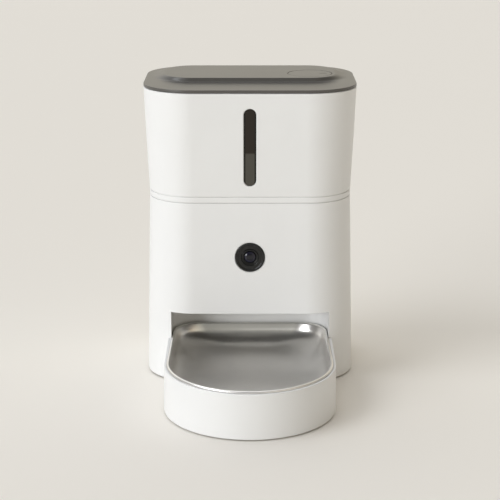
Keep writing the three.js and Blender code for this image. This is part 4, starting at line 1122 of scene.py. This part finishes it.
@dataclass
class FeedingAlcove(Assembly):
    """The liner of the feeding alcove and the chute above it."""

    wall: float = 2.2
    low: float = 4.8
    inset: float = WITHIN
    chute_foot: Outline = Outline(22.0, 17.125, 4.0, y=-49.375, steps=6)
    chute_head: Outline = Outline(27.0, 17.25, 4.0, y=-41.0, steps=6)
    chute_wall: float = 1.8
    chute_low: float = 78.5
    chute_top: float = 182.7
    chute_end: float = 185.5
    flange: float = 4.0
    trim: Pair = (-10.0, 190.0)
    mouth: Pair = (60.0, 100.0)
    bore: Pair = (70.0, 190.0)

    def passage(self, low: float, high: float, growth: float) -> Form:
        """Return the chute's passage between two heights, grown by a wall."""
        foot_z = ALCOVE_TOP + self.wall

        def ring(z: float) -> Ring:
            """Return the passage's outline at height z."""
            share = (z - foot_z) / (self.chute_end - foot_z)
            return between(self.chute_foot.ring(z, -growth), self.chute_head.ring(z, -growth), share)

        return Form.loft([ring(low), ring(high)])

    def build(self) -> None:
        """Build the liner and the chute."""
        liner = Form.slab(ALCOVE, self.low, ALCOVE_TOP + self.wall, -self.wall).piece("alcove_liner")
        Work.common(liner, BODY.hull(*self.trim, self.inset))
        Work.cut(liner, Form.slab(ALCOVE, -OVER, ALCOVE_TOP), self.passage(*self.mouth, FIT))
        self.seat(liner, Body.BASE, Slot.INNER_WHITE)
        chute = self.passage(self.chute_low, self.chute_top, self.chute_wall).piece("food_chute")
        brim = self.passage(self.chute_low, self.chute_low + self.chute_wall, self.chute_wall + self.flange)
        Work.join(chute, brim)
        Work.cut(chute, self.passage(*self.bore, 0.0))
        self.seat(chute, Body.BASE, Slot.INNER_WHITE)


@dataclass
class CameraEye(Assembly):
    """The camera's bezel, stepped barrel and lens."""

    radius: float = 15.1
    proud: float = 0.8
    rim: float = 1.6
    dish: float = 0.9
    depth: float = 8.0
    barrel: float = 8.6
    lens: float = 6.2
    crown: float = 2.2
    gap: float = FIT
    lip: float = 0.5
    pin: float = 0.45
    pin_reach: float = 12.2
    dome_steps: int = 16

    def facing(self, form: Form) -> Form:
        """Turn a form that points up so that it points out of the front on the camera's axis."""
        return form.turned_by(QUARTER, "X").at(0, BODY.front(EYE_Z), EYE_Z)

    def build(self) -> None:
        """Build the three pieces, each turned about the camera's axis."""
        face = self.proud - self.dish
        inner = self.radius - self.rim
        bore = self.barrel + self.gap
        section = [(bore, -self.depth), (self.radius, -self.depth), (self.radius, self.proud, 0.5)]
        section += [(inner, self.proud, 0.3), (inner - self.dish, face, 0.3)]
        section += [(bore + self.lip, face, 0.2), (bore, face - self.lip)]
        made = self.facing(Form.spun(section)).piece("camera_bezel")
        pins = [rod(self.pin, -2.0, 3.0, 0, reach, 24) for reach in (-self.pin_reach, self.pin_reach)]
        Work.cut(made, *map(self.facing, pins))
        self.seat(made, Body.BASE, Slot.BLACK_TRIM)
        step = (self.barrel - self.lens - self.gap) / 3
        drop = self.crown / 2
        profile = [(0.0, -self.depth), (self.barrel, -self.depth), (self.barrel, face, 0.3)]
        for ring in range(1, 3):
            edge = self.barrel - ring * step
            profile += [(edge, face - (ring - 1) * drop, 0.25), (edge, face - ring * drop, 0.1)]
        seat_z = face - self.crown - self.gap
        well = self.lens + self.gap
        floor = seat_z - self.crown
        profile += [(well, face - self.crown), (well, floor), (0.0, floor)]
        barrel = self.facing(Form.turned(profile)).piece("camera_barrel")
        self.seat(barrel, Body.BASE, Slot.BLACK_TRIM)
        dome = [(0.0, floor + self.gap), (self.lens, floor + self.gap, 0.2)]
        for place in range(self.dome_steps):
            angle = QUARTER * place / self.dome_steps
            dome.append((self.lens * math.cos(angle), seat_z + self.crown * math.sin(angle)))
        dome.append((0.0, seat_z + self.crown))
        lens = self.facing(Form.turned(dome)).piece("camera_lens")
        self.seat(lens, Body.BASE, Slot.LENS_GLASS)


KNOB = (63.0, 2.0)
KNOB_LOW = 313.2
LID_LEVEL = 315.2


@dataclass
class Lid(Assembly):
    """The grey lid with its raised deck and the knob's seat."""

    low: float = 308.0
    rim_top: float = 311.0
    edge: float = 0.6
    wall: float = 2.4
    rim_inset: float = 4.0
    deck: Outline = Outline(88.0, 43.0, 27.95, y=14.5, steps=18)
    skirt: Outline = Outline(109.2, 56.4, 50.0, y=25.3, steps=18)
    knob_seat: float = 23.55
    crispness: float = 1.7
    outer_steps: int = 18
    inner_steps: int = 6

    def deck_rings(self, lowest: float, drop: float, inset: float, steps: int) -> list[Ring]:
        """Return rings that ease out of the rim and up to the deck.

        Args:
            lowest: Height of the first ring.
            drop: Distance under the outer surface.
            inset: Distance inside the outer surface.
            steps: Rings on the slope.

        Returns:
            The rings from the bottom up.
        """
        rings = [self.skirt.ring(lowest, inset)]
        for step in range(steps + 1):
            share = step / steps
            rise = (1 - math.cos(math.pi * share**self.crispness)) / 2
            z = self.rim_top - drop + (LID_LEVEL - self.rim_top) * rise
            rings.append(between(self.skirt.ring(z, inset), self.deck.ring(z, inset), share))
        return rings

    def build(self) -> None:
        """Build the lid, hollow it and sink the knob's seat."""
        shell = BODY.hull(self.low, self.rim_top, 0.0, self.edge).piece("lid_shell")
        Work.join(shell, Form.loft(self.deck_rings(self.rim_top - self.edge, 0.0, 0.0, self.outer_steps)))
        Work.cut(
            shell,
            BODY.hull(self.low - OVER, self.rim_top - self.wall, self.rim_inset),
            Form.loft(self.deck_rings(self.low - OVER, self.wall, self.wall, self.inner_steps)),
        )
        seat_z = KNOB_LOW - FIT
        Work.join(shell, rod(self.knob_seat + self.wall, seat_z - self.wall, KNOB_LOW, *KNOB, 96))
        Work.cut(
            shell,
            rod(self.knob_seat, seat_z, LID_LEVEL + OVER, *KNOB, 96),
            rod(STEM_HOLE, self.low - OVER, LID_LEVEL + OVER, *KNOB),
        )
        self.seat(shell, Body.LID, Slot.GREY_LID, angle=26.0)


@dataclass
class LockKnob(Assembly):
    """The flush lock knob with its mark, its tongue and its screw."""

    radius: float = 23.0
    stem: float = 7.0
    stem_low: float = 297.4
    dash_x: float = 14.0
    dash_depth: float = 0.35
    bore: float = 1.7
    bore_top: float = 307.5
    tongue_low: float = 293.4
    tongue_high: float = 297.1
    screw_low: float = 291.1

    def build(self) -> None:
        """Build the knob with a generic dash in its face, then its tongue and its screw."""
        profile = [(0.0, self.stem_low), (self.stem, self.stem_low, 0.4), (self.stem, KNOB_LOW)]
        profile += [(self.radius, KNOB_LOW, 0.3), (self.radius, LID_LEVEL, 0.5), (0.0, LID_LEVEL)]
        made = Form.turned(profile).at(*KNOB).piece("lock_knob")
        dash = Form.prism(capsule(3.2, 0.7), LID_LEVEL - self.dash_depth, LID_LEVEL + 1).at(self.dash_x)
        bore = rod(self.bore, self.screw_low - 1, self.bore_top, *KNOB, 32)
        self.seat(Work.cut(made, dash.at(*KNOB), bore), Body.LOCK, Slot.GREY_LID)
        outline = flat(arc(0, 0, 0, 9.5, 0, math.pi, 20) + arc(0, -36.9, 0, 5.0, math.pi, math.pi, 16))
        tongue = Form.prism(outline, self.tongue_low, self.tongue_high).at(*KNOB).piece("lock_tongue")
        self.seat(Work.cut(tongue, bore), Body.LOCK, Slot.GREY_LID)
        low, neck = self.screw_low, self.screw_low + 2.0
        profile = [(0.0, low), (3.6, low, 0.6), (3.6, neck), (1.4, neck), (1.4, 306.6), (0.0, 307.1)]
        screw = Form.turned(profile, 48).at(*KNOB).piece("lock_screw")
        recess = (bar.at(*KNOB) for bar in cross(1.7, 0.35, 280.0, 292.0))
        self.seat(Work.cut(screw, *recess), Body.LOCK, Slot.PLAIN_STEEL)


@dataclass
class Tray(Assembly):
    """The D-shaped tray that slides out with the bowl."""

    front: FrontRound = FrontRound(86.6, 86.6, -152.5, -40.0, 28.0)
    rear: FrontRound = FrontRound(82.0, 82.0, -152.5, -24.9, 28.4)
    bowl: FrontRound = FrontRound(83.5, 81.7, -152.5, -27.4, 28.0)
    foot: float = 1.3
    top: float = 47.2
    seat_z: float = 46.0
    draft: float = 0.6
    wall: float = 2.6
    edge: float = 0.8
    slip: float = 0.6
    bowl_hole: float = 1.8
    body_top: float = 150.0

    def build(self) -> None:
        """Build the tray's skirt, cut it to the body and seat the bowl in it."""
        section = [(20.0, self.foot), (0.0, self.foot, 0.6)]
        section += [(self.draft, self.top, self.edge), (20.0, self.top)]
        rows = divided(softened(section, False)[1:-1], (self.top - self.foot) / 2, False)
        shell = Form.loft([self.front.ring(z, inset) for inset, z in rows]).piece("tray_shell")
        Work.cut(
            shell,
            BODY.hull(-OVER, self.body_top, -self.slip),
            Form.slab(self.bowl, self.seat_z, self.top + OVER, -FIT),
        )
        Work.join(shell, Form.slab(self.rear, self.foot, self.seat_z))
        ceiling = self.seat_z - self.wall
        hollow = Form.slab(self.front, -OVER, ceiling, self.wall + self.draft).shape("hollow")
        Work.cut(hollow, BODY.hull(-2 * OVER, self.body_top, -self.slip - self.wall))
        Work.cut(
            shell,
            Form.of(hollow),
            Form.slab(self.rear, -OVER, ceiling, self.wall - self.slip),
            Form.slab(self.bowl, 0.0, self.top + OVER, self.bowl_hole),
        )
        self.seat(shell, Body.TRAY, Slot.WHITE_SHELL)


@dataclass
class Bowl(Assembly):
    """The pressed steel bowl with its rolled bead."""

    rim: FrontRound = FrontRound(83.5, 81.7, -152.5, -27.4, 28.0, -0.6)
    sheet: float = 0.8
    bead: float = 1.5
    bead_z: float = 47.8
    seat_z: float = 46.0
    foot_inset: float = 4.2
    foot_z: float = 44.0
    floor_inset: float = 29.0
    floor_z: float = 28.0
    steps: int = 14
    bead_steps: int = 18

    def wall(self, shift: float) -> list[Pair]:
        """Return the wall's section from its foot to the floor, moved out by a shift."""
        made = [(self.foot_inset + shift, self.foot_z)]
        for step in range(1, self.steps + 1):
            angle = QUARTER * step / self.steps
            inset = self.floor_inset - (self.floor_inset - self.foot_inset - shift) * math.cos(angle)
            made.append((inset, self.foot_z - (self.foot_z - self.floor_z - shift) * math.sin(angle)))
        return made

    def build(self) -> None:
        """Sweep the section round the bowl's outline."""
        outer = list(reversed(self.wall(-self.sheet)))
        bead = []
        for step in range(self.bead_steps + 1):
            angle = -QUARTER - 1.5 * math.pi * step / self.bead_steps
            bead.append((self.bead * (1 + math.cos(angle)), self.bead_z + self.bead * math.sin(angle)))
        section = [*outer, (2 * self.bead - self.sheet, self.seat_z), *bead, *self.wall(0.0)]
        bowl = Form.loft([self.rim.ring(z, inset) for inset, z in section])
        self.seat(bowl.piece("steel_bowl"), Body.BOWL, Slot.BOWL_STEEL, angle=50.0)


OUTLET = sector(26.0, 56.0, 0.3 * math.pi)


@dataclass
class TankFloor(Assembly):
    """The band under the tank with its spigot and the rotor's round chamber."""

    low: float = 194.2
    high: float = 199.8
    plate: float = 196.7
    edge: float = 0.7
    spigot_top: float = 203.5
    spigot_inset: float = WITHIN
    tub_inset: float = 5.9
    lip_inset: float = 0.9
    lip: float = 0.62
    chamber: float = 60.2
    inside: float = 58.0
    chamber_low: float = 185.8
    chamber_plate: float = 188.2
    chamber_top: float = 203.7
    shaft_hole: float = 8.0

    def build(self) -> None:
        """Fuse the band, its lips, the spigot and the chamber, then open the outlet."""
        floor = BODY.hull(self.low, self.high, 0.0, self.edge).piece("tank_floor")
        Work.join(floor, BODY.hull(self.low - self.lip, self.high + self.lip, self.lip_inset, 0.2))
        Work.join(floor, BODY.hull(self.plate - FIT, self.spigot_top, self.spigot_inset, 0.4))
        Work.cut(floor, BODY.hull(self.plate, self.spigot_top + OVER, self.tub_inset))
        Work.join(floor, Form.disc(self.chamber, self.chamber_low, self.chamber_top, 0.8, 0.4, 128))
        Work.cut(
            floor,
            rod(self.inside, self.chamber_plate, self.chamber_top + OVER, sides=128),
            Form.prism(OUTLET, self.chamber_low - OVER, self.chamber_top),
            rod(self.shaft_hole, self.chamber_low - OVER, self.chamber_top),
        )
        self.seat(floor, Body.TANK, Slot.WHITE_SHELL)


@dataclass
class Hopper(Assembly):
    """The hopper, round at its foot and following the body above its funnel."""

    mouth: Outline = Outline(58.0, 58.0, 58.0, steps=16)
    wall: float = 2.2
    inset: float = 7.0
    low: float = 204.0
    funnel: float = 250.0
    high: float = 306.8
    flange_low: float = 304.2
    flange_inset: float = WITHIN
    sight: Stadium = Stadium(9.6, 251.6, 290.5)
    sight_reach: Pair = (14.0, 2.0)
    keeper_low: tuple[float, float, float] = (98.0, -11.0, 292.2)
    keeper_high: tuple[float, float, float] = (120.0, 15.0, 299.2)
    steps: int = 6

    def block(self, growth: float, low: float, high: float) -> Form:
        """Return the hopper's inside, grown by its wall, from one height to another."""
        rings = [self.mouth.ring(z, -growth) for z in sorted({low, self.low})]
        for step in range(1, self.steps + 1):
            share = step / self.steps
            z = self.low + (self.funnel - self.low) * share
            ring = between(self.mouth.ring(z, -growth), BODY.ring(self.funnel, self.inset - growth), share)
            rings.append([Vector((*point.xy, z)) for point in ring])
        rings += [BODY.ring(z, self.inset - growth) for z in ((self.funnel + self.high) / 2, high)]
        return Form.loft(rings)

    def build(self) -> None:
        """Build the hopper with its flange, its sight slot and the lock's keeper slot."""
        hopper = self.block(self.wall, self.low, self.high).piece("hopper")
        Work.join(hopper, BODY.hull(self.flange_low, self.high, self.flange_inset, 0.5))
        Work.cut(
            hopper,
            self.block(0.0, self.low - OVER, self.high + OVER),
            Form.loft([BODY.front_ring(self.sight.points(), inset) for inset in self.sight_reach]),
            Form.block(self.keeper_low, self.keeper_high),
        )
        self.seat(hopper, Body.TANK, Slot.INNER_WHITE)


@dataclass
class Portioner(Assembly):
    """The six-vaned rotor, the stirrer on its hub and the shield over the outlet."""

    low: float = 188.8
    hub: float = 14.0
    shoulder: float = 206.1
    stub: float = 6.5
    stub_top: float = 212.0
    reach: float = 56.8
    vane: float = 2.4
    vane_top: float = 203.1
    socket: float = 10.6
    socket_depth: float = 12.0
    stirrer_low: float = 206.4
    stirrer_step: float = 5.9
    finger: float = 2.5
    shield_low: float = 204.3
    shield_inner: float = 15.2
    shield_angle: float = 0.38 * math.pi

    def build(self) -> None:
        """Build the rotor, the stirrer and the shield."""
        turn = math.pi / 3
        profile = [(0.0, self.low), (self.hub, self.low, 0.5), (self.hub, self.shoulder, 0.6)]
        profile += [(self.stub, self.shoulder), (self.stub, self.stub_top, 0.8), (0.0, self.stub_top)]
        rotor = Form.turned(profile).piece("portion_rotor")
        root, tip = self.hub / 2, self.reach
        side = [(root, self.low), (tip, self.low, 1.0), (tip, self.vane_top, 2.0), (root, self.vane_top)]
        vane = Form.prism(softened(side), -self.vane / 2, self.vane / 2).turned_by(QUARTER, "X")
        Work.join(rotor, *(vane.turned_by(turn * place) for place in range(6)))
        socket = rod(self.socket / math.sqrt(3), self.low - OVER, self.low + self.socket_depth, sides=6)
        self.seat(Work.cut(rotor, socket.turned_by(turn / 2)), Body.ROTOR, Slot.GEAR_PLASTIC)
        self.stirrer()
        fan = sector(self.shield_inner, self.reach, self.shield_angle)
        shield = Form.prism(fan, self.shield_low, self.shoulder)
        self.seat(shield.piece("outlet_shield"), Body.TANK, Slot.INNER_WHITE)

    def stirrer(self) -> None:
        """Build the stirrer's cap and its three soft fingers."""
        profile = [(0.0, 0.0), (self.hub, 0.0, 0.8), (self.hub, 5.0, 1.2)]
        profile += [(8.5, self.stirrer_step, 0.8), (6.5, 7.9, 0.8), (0.0, 7.9)]
        cap = Form.turned(profile).at(z=self.stirrer_low).piece("stirrer")
        start, bend, end = Vector((7.0, 0, 5.0)), Vector((35.2, 0, 2.5)), Vector((42.6, 0, 17.0))
        finger = Form.swept(bent(start, bend, end, 16), self.finger).at(z=self.stirrer_low)
        Work.join(cap, *(finger.turned_by(QUARTER + 2 * math.pi * place / 3) for place in range(3)))
        bore = rod(self.stub + FIT, self.stirrer_low - OVER, self.stirrer_low + self.stirrer_step)
        Work.cut(cap, bore)
        self.seat(cap, Body.ROTOR, Slot.SOFT_STIRRER, angle=45.0)


@dataclass
class BaseDeck(Assembly):
    """The base's deck with its centring ring, its posts and the shaft's bush."""

    low: float = 183.0
    high: float = 185.5
    inset: float = WITHIN
    ring_inner: float = 60.8
    ring_outer: float = 63.2
    ring_top: float = 191.5
    post: float = 4.0
    post_low: float = 163.0
    posts: tuple[Pair, ...] = ((-26.75, 0.0), (26.75, 0.0), (0.0, 41.0))
    bush_hole: float = 5.9

    def build(self) -> None:
        """Build the deck and the bush."""
        deck = BODY.hull(self.low, self.high, self.inset, 0.3).piece("base_deck")
        inner, outer, root = self.ring_inner, self.ring_outer, self.high - 1
        section = [(inner, root), (outer, root), (outer, self.ring_top, 0.5), (inner, self.ring_top, 0.9)]
        posts = [rod(self.post, self.post_low, root, *spot) for spot in self.posts]
        Work.join(deck, Form.spun(section, 128), *posts)
        span = (self.low - OVER, self.ring_top + 2.0)
        Work.cut(deck, Form.prism(OUTLET, *span), rod(self.bush_hole, *span))
        self.seat(deck, Body.BASE, Slot.INNER_WHITE)
        section = [(4.3, 181.1, 0.3), (7.5, 181.1, 0.3), (7.5, 182.7, 0.3)]
        section += [(5.6, 182.7), (5.6, self.high, 0.4), (4.3, self.high, 0.4)]
        self.seat(Form.spun(section, 64).piece("shaft_bush"), Body.BASE, Slot.GEAR_PLASTIC)


@dataclass
class LidInside(Assembly):
    """The pan under the lid, its gasket and the desiccant cup with its slotted cap."""

    low: float = 298.0
    high: float = 308.3
    plate: float = 300.0
    inset: float = 8.4
    wall: float = 2.0
    gasket: float = 0.65
    cup_x: float = -40.0
    cup: float = 35.0
    cup_inner: float = 32.6
    cup_wall: float = 2.4
    cup_low: float = 283.7
    cap: float = 32.0
    cap_depth: float = 2.2
    slot_x: float = 20.3
    grip: Outline = Outline(16.3, 1.5, 1.2, steps=6)

    def build(self) -> None:
        """Build the four pieces."""
        pan = BODY.hull(self.low, self.high, self.inset, 0.6).piece("lid_liner")
        hollow = BODY.hull(self.plate, self.high + OVER, self.inset + self.wall)
        Work.cut(pan, hollow, rod(STEM_HOLE, self.low - OVER, self.high, *KNOB))
        self.seat(pan, Body.LID, Slot.INNER_WHITE)
        inner, outer = self.inset - FIT, self.inset - FIT - self.gasket
        foot = self.plate
        waist = [(inner, foot), (outer, foot + 0.3, 0.3), (outer + 0.3, foot + 1.5, 0.5)]
        waist += [(outer, foot + 2.7, 0.3), (inner, foot + 3.0)]
        self.seat(BODY.wall(waist).piece("lid_gasket"), Body.LID, Slot.DARK_SEAL)
        top, low = self.low - FIT, self.cup_low
        roof = top - self.cup_wall
        profile = [(0.0, roof), (self.cup_inner, roof, 1.5), (self.cup_inner, low, 0.3)]
        profile += [(self.cup, low, 0.5), (self.cup, top, 0.8), (0.0, top)]
        self.seat(Form.turned(profile).at(self.cup_x).piece("desiccant_cup"), Body.LID, Slot.INNER_WHITE)
        cap = Form.disc(self.cap, low, low + self.cap_depth, 0.5, 0.3).piece("desiccant_cap")
        slot = Form.prism(capsule(7.6, 1.7), low - OVER, low + OVER).at(self.slot_x)
        Work.cut(cap, *(slot.turned_by(math.pi * (2 * place + 1) / 6) for place in range(6)))
        Work.join(cap, Form.slab(self.grip, low - 3.0, low + 1.1, edge=0.4))
        cap.data.transform(Matrix.Translation((self.cup_x * MM, 0, 0)))
        self.seat(cap, Body.CAP, Slot.GREY_LID)


@dataclass
class Underside(Assembly):
    """The cover under the base, its battery door, its feet and its screws."""

    low: float = 1.9
    high: float = 4.5
    inset: float = WITHIN
    opening: Outline = Outline(57.5, 35.5, 1.2, y=17.0, steps=4)
    door: Outline = Outline(56.9, 34.5, 1.0, y=17.4, steps=4)
    door_low: float = 2.2
    door_high: float = 4.4
    nose_y: float = -17.1
    nose: float = 1.1
    foot: float = 7.0
    foot_seat: float = 3.1
    screw_seat: float = 3.4
    corners: tuple[str, ...] = ("left_front", "left_rear", "right_front", "right_rear")

    def build(self) -> None:
        """Build the cover, the door, four feet and four screws."""
        cover = BODY.hull(self.low, self.high, self.inset, 0.4).piece("bottom_cover")
        above = self.high + OVER
        cutters = [Form.slab(shape, -OVER, above) for shape in (ALCOVE, self.opening)]
        cutters.append(Form.block((-9.6, 40.0, -OVER), (9.6, 57.1, above)))
        for corner in self.corners:
            cutters.append(on("foot_" + corner, rod(self.foot + FIT, -OVER, self.foot_seat)))
            holes = [rod(3.5, -OVER, self.screw_seat), rod(1.8, -OVER, above, sides=32)]
            cutters += [on("screw_" + corner, hole) for hole in holes]
        self.seat(Work.cut(cover, *cutters), Body.BASE, Slot.INNER_WHITE)
        self.battery_door()
        section = [(0.0, 0.0), (self.foot - 0.6, 0.0, 0.5), (self.foot, 0.8, 0.4)]
        section += [(self.foot, 2.8), (0.0, 2.8)]
        for corner in self.corners:
            foot = on("foot_" + corner, Form.turned(section, 64)).piece("foot_" + corner)
            self.seat(foot, Body.BASE, Slot.SOFT_RUBBER)
        for corner in self.corners:
            self.screw("screw_" + corner)

    def battery_door(self) -> None:
        """Build the door with its hinge nose and its latch, and cut a notch by the latch."""
        low, high = self.door_low, self.door_high
        door = Form.slab(self.door, low, high, edge=0.3).piece("battery_door")
        half = self.door.half_width
        nose = rod(self.nose, -half, half, sides=32).turned_by(QUARTER, "Y")
        latch = Form.slab(Outline(9.0, 4.0, 1.0, y=51.9, steps=4), low, high, edge=0.3)
        Work.join(door, nose.at(0, self.nose_y, (low + high) / 2), latch)
        Work.cut(door, Form.slab(Outline(4.5, 2.0, 0.8, y=49.9, steps=4), -OVER, self.screw_seat))
        self.seat(door, Body.DOOR, Slot.INNER_WHITE)

    def screw(self, node: str) -> None:
        """Build one screw with a crossed recess."""
        profile = [(0.0, 2.2), (3.2, 2.2, 0.4), (3.2, 3.3), (1.5, 3.3), (1.5, 17.9, 0.5), (0.0, 18.5)]
        made = on(node, Form.turned(profile, 48)).piece(node)
        recess = (on(node, bar) for bar in cross(1.5, 0.32, 0.0, 2.8))
        self.seat(Work.cut(made, *recess), Body.BASE, Slot.PLAIN_STEEL)


@dataclass
class RearPorts(Assembly):
    """The speaker, the power inlet and the reset button in the base's back."""

    speaker_sink: float = 3.4
    button_proud: float = 0.4

    def build(self) -> None:
        """Turn the three pieces about axes that point out of the back."""
        cone = [(0.0, -15.4), (10.0, -15.4, 0.5), (10.0, -9.4), (20.0, -6.2, 0.5), (20.0, -3.4, 0.3)]
        cone += [(17.6, -3.4, 0.3), (16.2, -4.6, 0.6), (5.0, -7.4, 0.6), (2.5, -6.5, 1.0), (0.0, -6.4)]
        inlet = [(0.0, -13.0), (5.6, -13.0, 0.3), (5.6, -4.8), (7.0, -4.8), (7.0, -3.4), (5.6, -3.4)]
        inlet += [(5.6, 0.0, 0.4), (3.2, 0.0, 0.4), (3.2, -11.6), (1.0, -11.6)]
        inlet += [(1.0, -1.4, 0.4), (0.0, -1.4)]
        button = [(0.0, -4.8), (5.4, -4.8), (5.4, -3.4), (4.0, -3.4)]
        button += [(4.0, 0.2, 0.4), (2.6, 0.35, 0.5), (0.0, 0.4)]
        for node, body, slot, profile, proud in [
            ("speaker", Body.BASE, Slot.BLACK_TRIM, cone, -self.speaker_sink),
            ("power_inlet", Body.BASE, Slot.BLACK_TRIM, inlet, 0.0),
            ("reset_button", Body.BUTTON, Slot.GREY_LID, button, self.button_proud),
        ]:
            spot = middle(node)
            placed = to_back(Form.turned(profile), spot.x, rear_face(node) - proud, spot.z)
            self.seat(placed.piece(node), body, slot)


@dataclass
class TrayFloor(Assembly):
    """The plate under the tray and its three pads."""

    tray: Tray = field(default_factory=Tray)
    low: float = 1.6
    high: float = 3.8
    front_inset: float = 3.5
    rear_inset: float = 2.3
    pad: float = 7.0
    pad_top: float = 1.3

    def build(self) -> None:
        """Build the plate in its two parts, then the pads."""
        plate = Form.slab(self.tray.front, self.low, self.high, self.front_inset).piece("tray_floor")
        Work.cut(plate, BODY.hull(-2 * OVER, self.tray.body_top, -self.front_inset))
        Work.join(plate, Form.slab(self.tray.rear, self.low, self.high, self.rear_inset))
        self.seat(plate, Body.TRAY, Slot.WHITE_SHELL)
        for node in ("tray_pad_front", "tray_pad_left", "tray_pad_right"):
            pad = on(node, Form.disc(self.pad, 0.0, self.pad_top, 0.5, 0.2, 64))
            self.seat(pad.piece(node), Body.TRAY, Slot.SOFT_RUBBER)


@dataclass(frozen=True)
class Glow:
    """A wide soft source, placed by degrees to the left of the front and above the floor."""

    left: float
    rise: float
    colour: Colour = (1.0, 1.0, 1.0)

    def towards(self) -> Vector:
        """Return the direction in which the source lies."""
        turn, lift = math.radians(self.left), math.radians(self.rise)
        return Vector((-math.sin(turn) * math.cos(lift), -math.cos(turn) * math.cos(lift), math.sin(lift)))


@dataclass(frozen=True)
class Lamp:
    """A wide sun lamp."""

    name: str
    glow: Glow
    energy: float
    angle: float

    def hang(self) -> None:
        """Add the lamp to the scene."""
        sun = bpy.data.lights.new(self.name, "SUN")
        sun.energy = self.energy
        sun.angle = math.radians(self.angle)
        sun.color = self.glow.colour
        made = linked(self.name, sun)
        made.rotation_euler = self.glow.towards().to_track_quat("Z", "Y").to_euler()


@dataclass
class Stage:
    """The plain floor, the soft studio light and the camera."""

    floor: Colour = (0.92, 0.885, 0.82)
    spread: float = 30000.0
    lens: float = 105.4
    distance: float = 1532.8
    height: float = 552.4
    pitch: float = 15.67
    lamps: tuple[Lamp, ...] = (
        Lamp("low_key", Glow(44.0, 5.0, (0.985, 1.0, 1.015)), 2.08, 34.0),
        Lamp("high_key", Glow(70.0, 42.0, (0.97, 1.0, 1.05)), 0.82, 30.0),
    )
    falloff: float = 6.0
    glows: tuple[Glow, ...] = (
        Glow(0.0, 90.0, (0.9, 0.915, 0.99)),
        Glow(150.0, 45.0, (1.0, 1.01, 1.01)),
        Glow(150.0, 8.0, (0.17, 0.15, 0.12)),
        Glow(180.0, 8.0, (0.4, 0.37, 0.3)),
        Glow(-150.0, 8.0, (0.24, 0.22, 0.19)),
        Glow(-150.0, 45.0, (0.42, 0.385, 0.29)),
        Glow(-60.0, 8.0, (0.4, 0.3, 0.19)),
        Glow(-30.0, 8.0, (0.44, 0.45, 0.4)),
    )

    def floor_material(self) -> bpy.types.Material:
        """Make the plain pale floor."""
        graph = Graph("pale_floor")
        cloud = graph.noise(900.0, 2.0)
        return graph.surface(
            Base_Color=graph.mix(cloud, scaled(self.floor, 0.985), self.floor),
            Roughness=0.75,
            Normal=graph.bump(graph.noise(1.2, 3.0), 0.02, 0.2),
        )

    def build(self) -> None:
        """Lay the floor, hang the lights and set the camera."""
        plan = Outline(self.spread, self.spread, 10.0, steps=1)
        floor = Form.slab(plan, -40.0, 0.0).shape("studio_floor")
        floor.data.materials.append(self.floor_material())
        for lamp in self.lamps:
            lamp.hang()
        self.surroundings()
        data = bpy.data.cameras.new("photo_camera")
        data.lens = self.lens
        data.sensor_width = 36.0
        data.clip_end = 100.0
        camera = linked("photo_camera", data)
        camera.location = (0.0, (BODY_Y - self.distance) * MM, self.height * MM)
        camera.rotation_euler = (math.radians(90.0 - self.pitch), 0.0, 0.0)
        bpy.context.scene.camera = camera
        bpy.context.scene.view_settings.view_transform = "Standard"

    def surroundings(self) -> None:
        """Light the world with the sum of its glows."""
        world = bpy.data.worlds.new("studio")
        graph = Graph("studio", world)
        seen = graph.vector("NORMALIZE", {0: graph.node("TexCoord", output="Generated")})
        total: Wire | None = None
        for glow in self.glows:
            facing = graph.vector("DOT_PRODUCT", {0: seen, 1: glow.towards()}, "Value")
            share = facing.maths("MAXIMUM", 0.0) ** self.falloff
            lit = graph.vector("SCALE", {0: glow.colour, "Scale": share})
            total = graph.vector("ADD", {0: total, 1: lit}) if total else lit
        graph.node("OutputWorld", None, {"Surface": graph.node("Background", None, {"Color": total})})
        bpy.context.scene.world = world


def dress_carried() -> None:
    """Give every node its slot's finish, also those that a piece stands for."""
    for row in frame["record"]["subparts"]:
        dress(frame["nodes"][row["node"]].data, Slot(row["material_slot"]))


def main() -> None:
    """Build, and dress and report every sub-assembly."""
    logging.basicConfig(level=logging.INFO, format="%(name)s %(message)s")
    makers: list[Callable[[], Assembly]] = [
        BaseShell,
        BaseDeck,
        FeedingAlcove,
        CameraEye,
        RearPorts,
        Underside,
        TankShell,
        TankFloor,
        LevelWindow,
        Hopper,
        Portioner,
        Lid,
        LidInside,
        LockKnob,
        Tray,
        TrayFloor,
        Bowl,
    ]
    for maker in makers:
        assembly = maker()
        assembly.build()
        assembly.dress()
        log.info("%s done", maker.__name__)
    dress_carried()
    Stage().build()


if __name__ == "__main__":
    main()
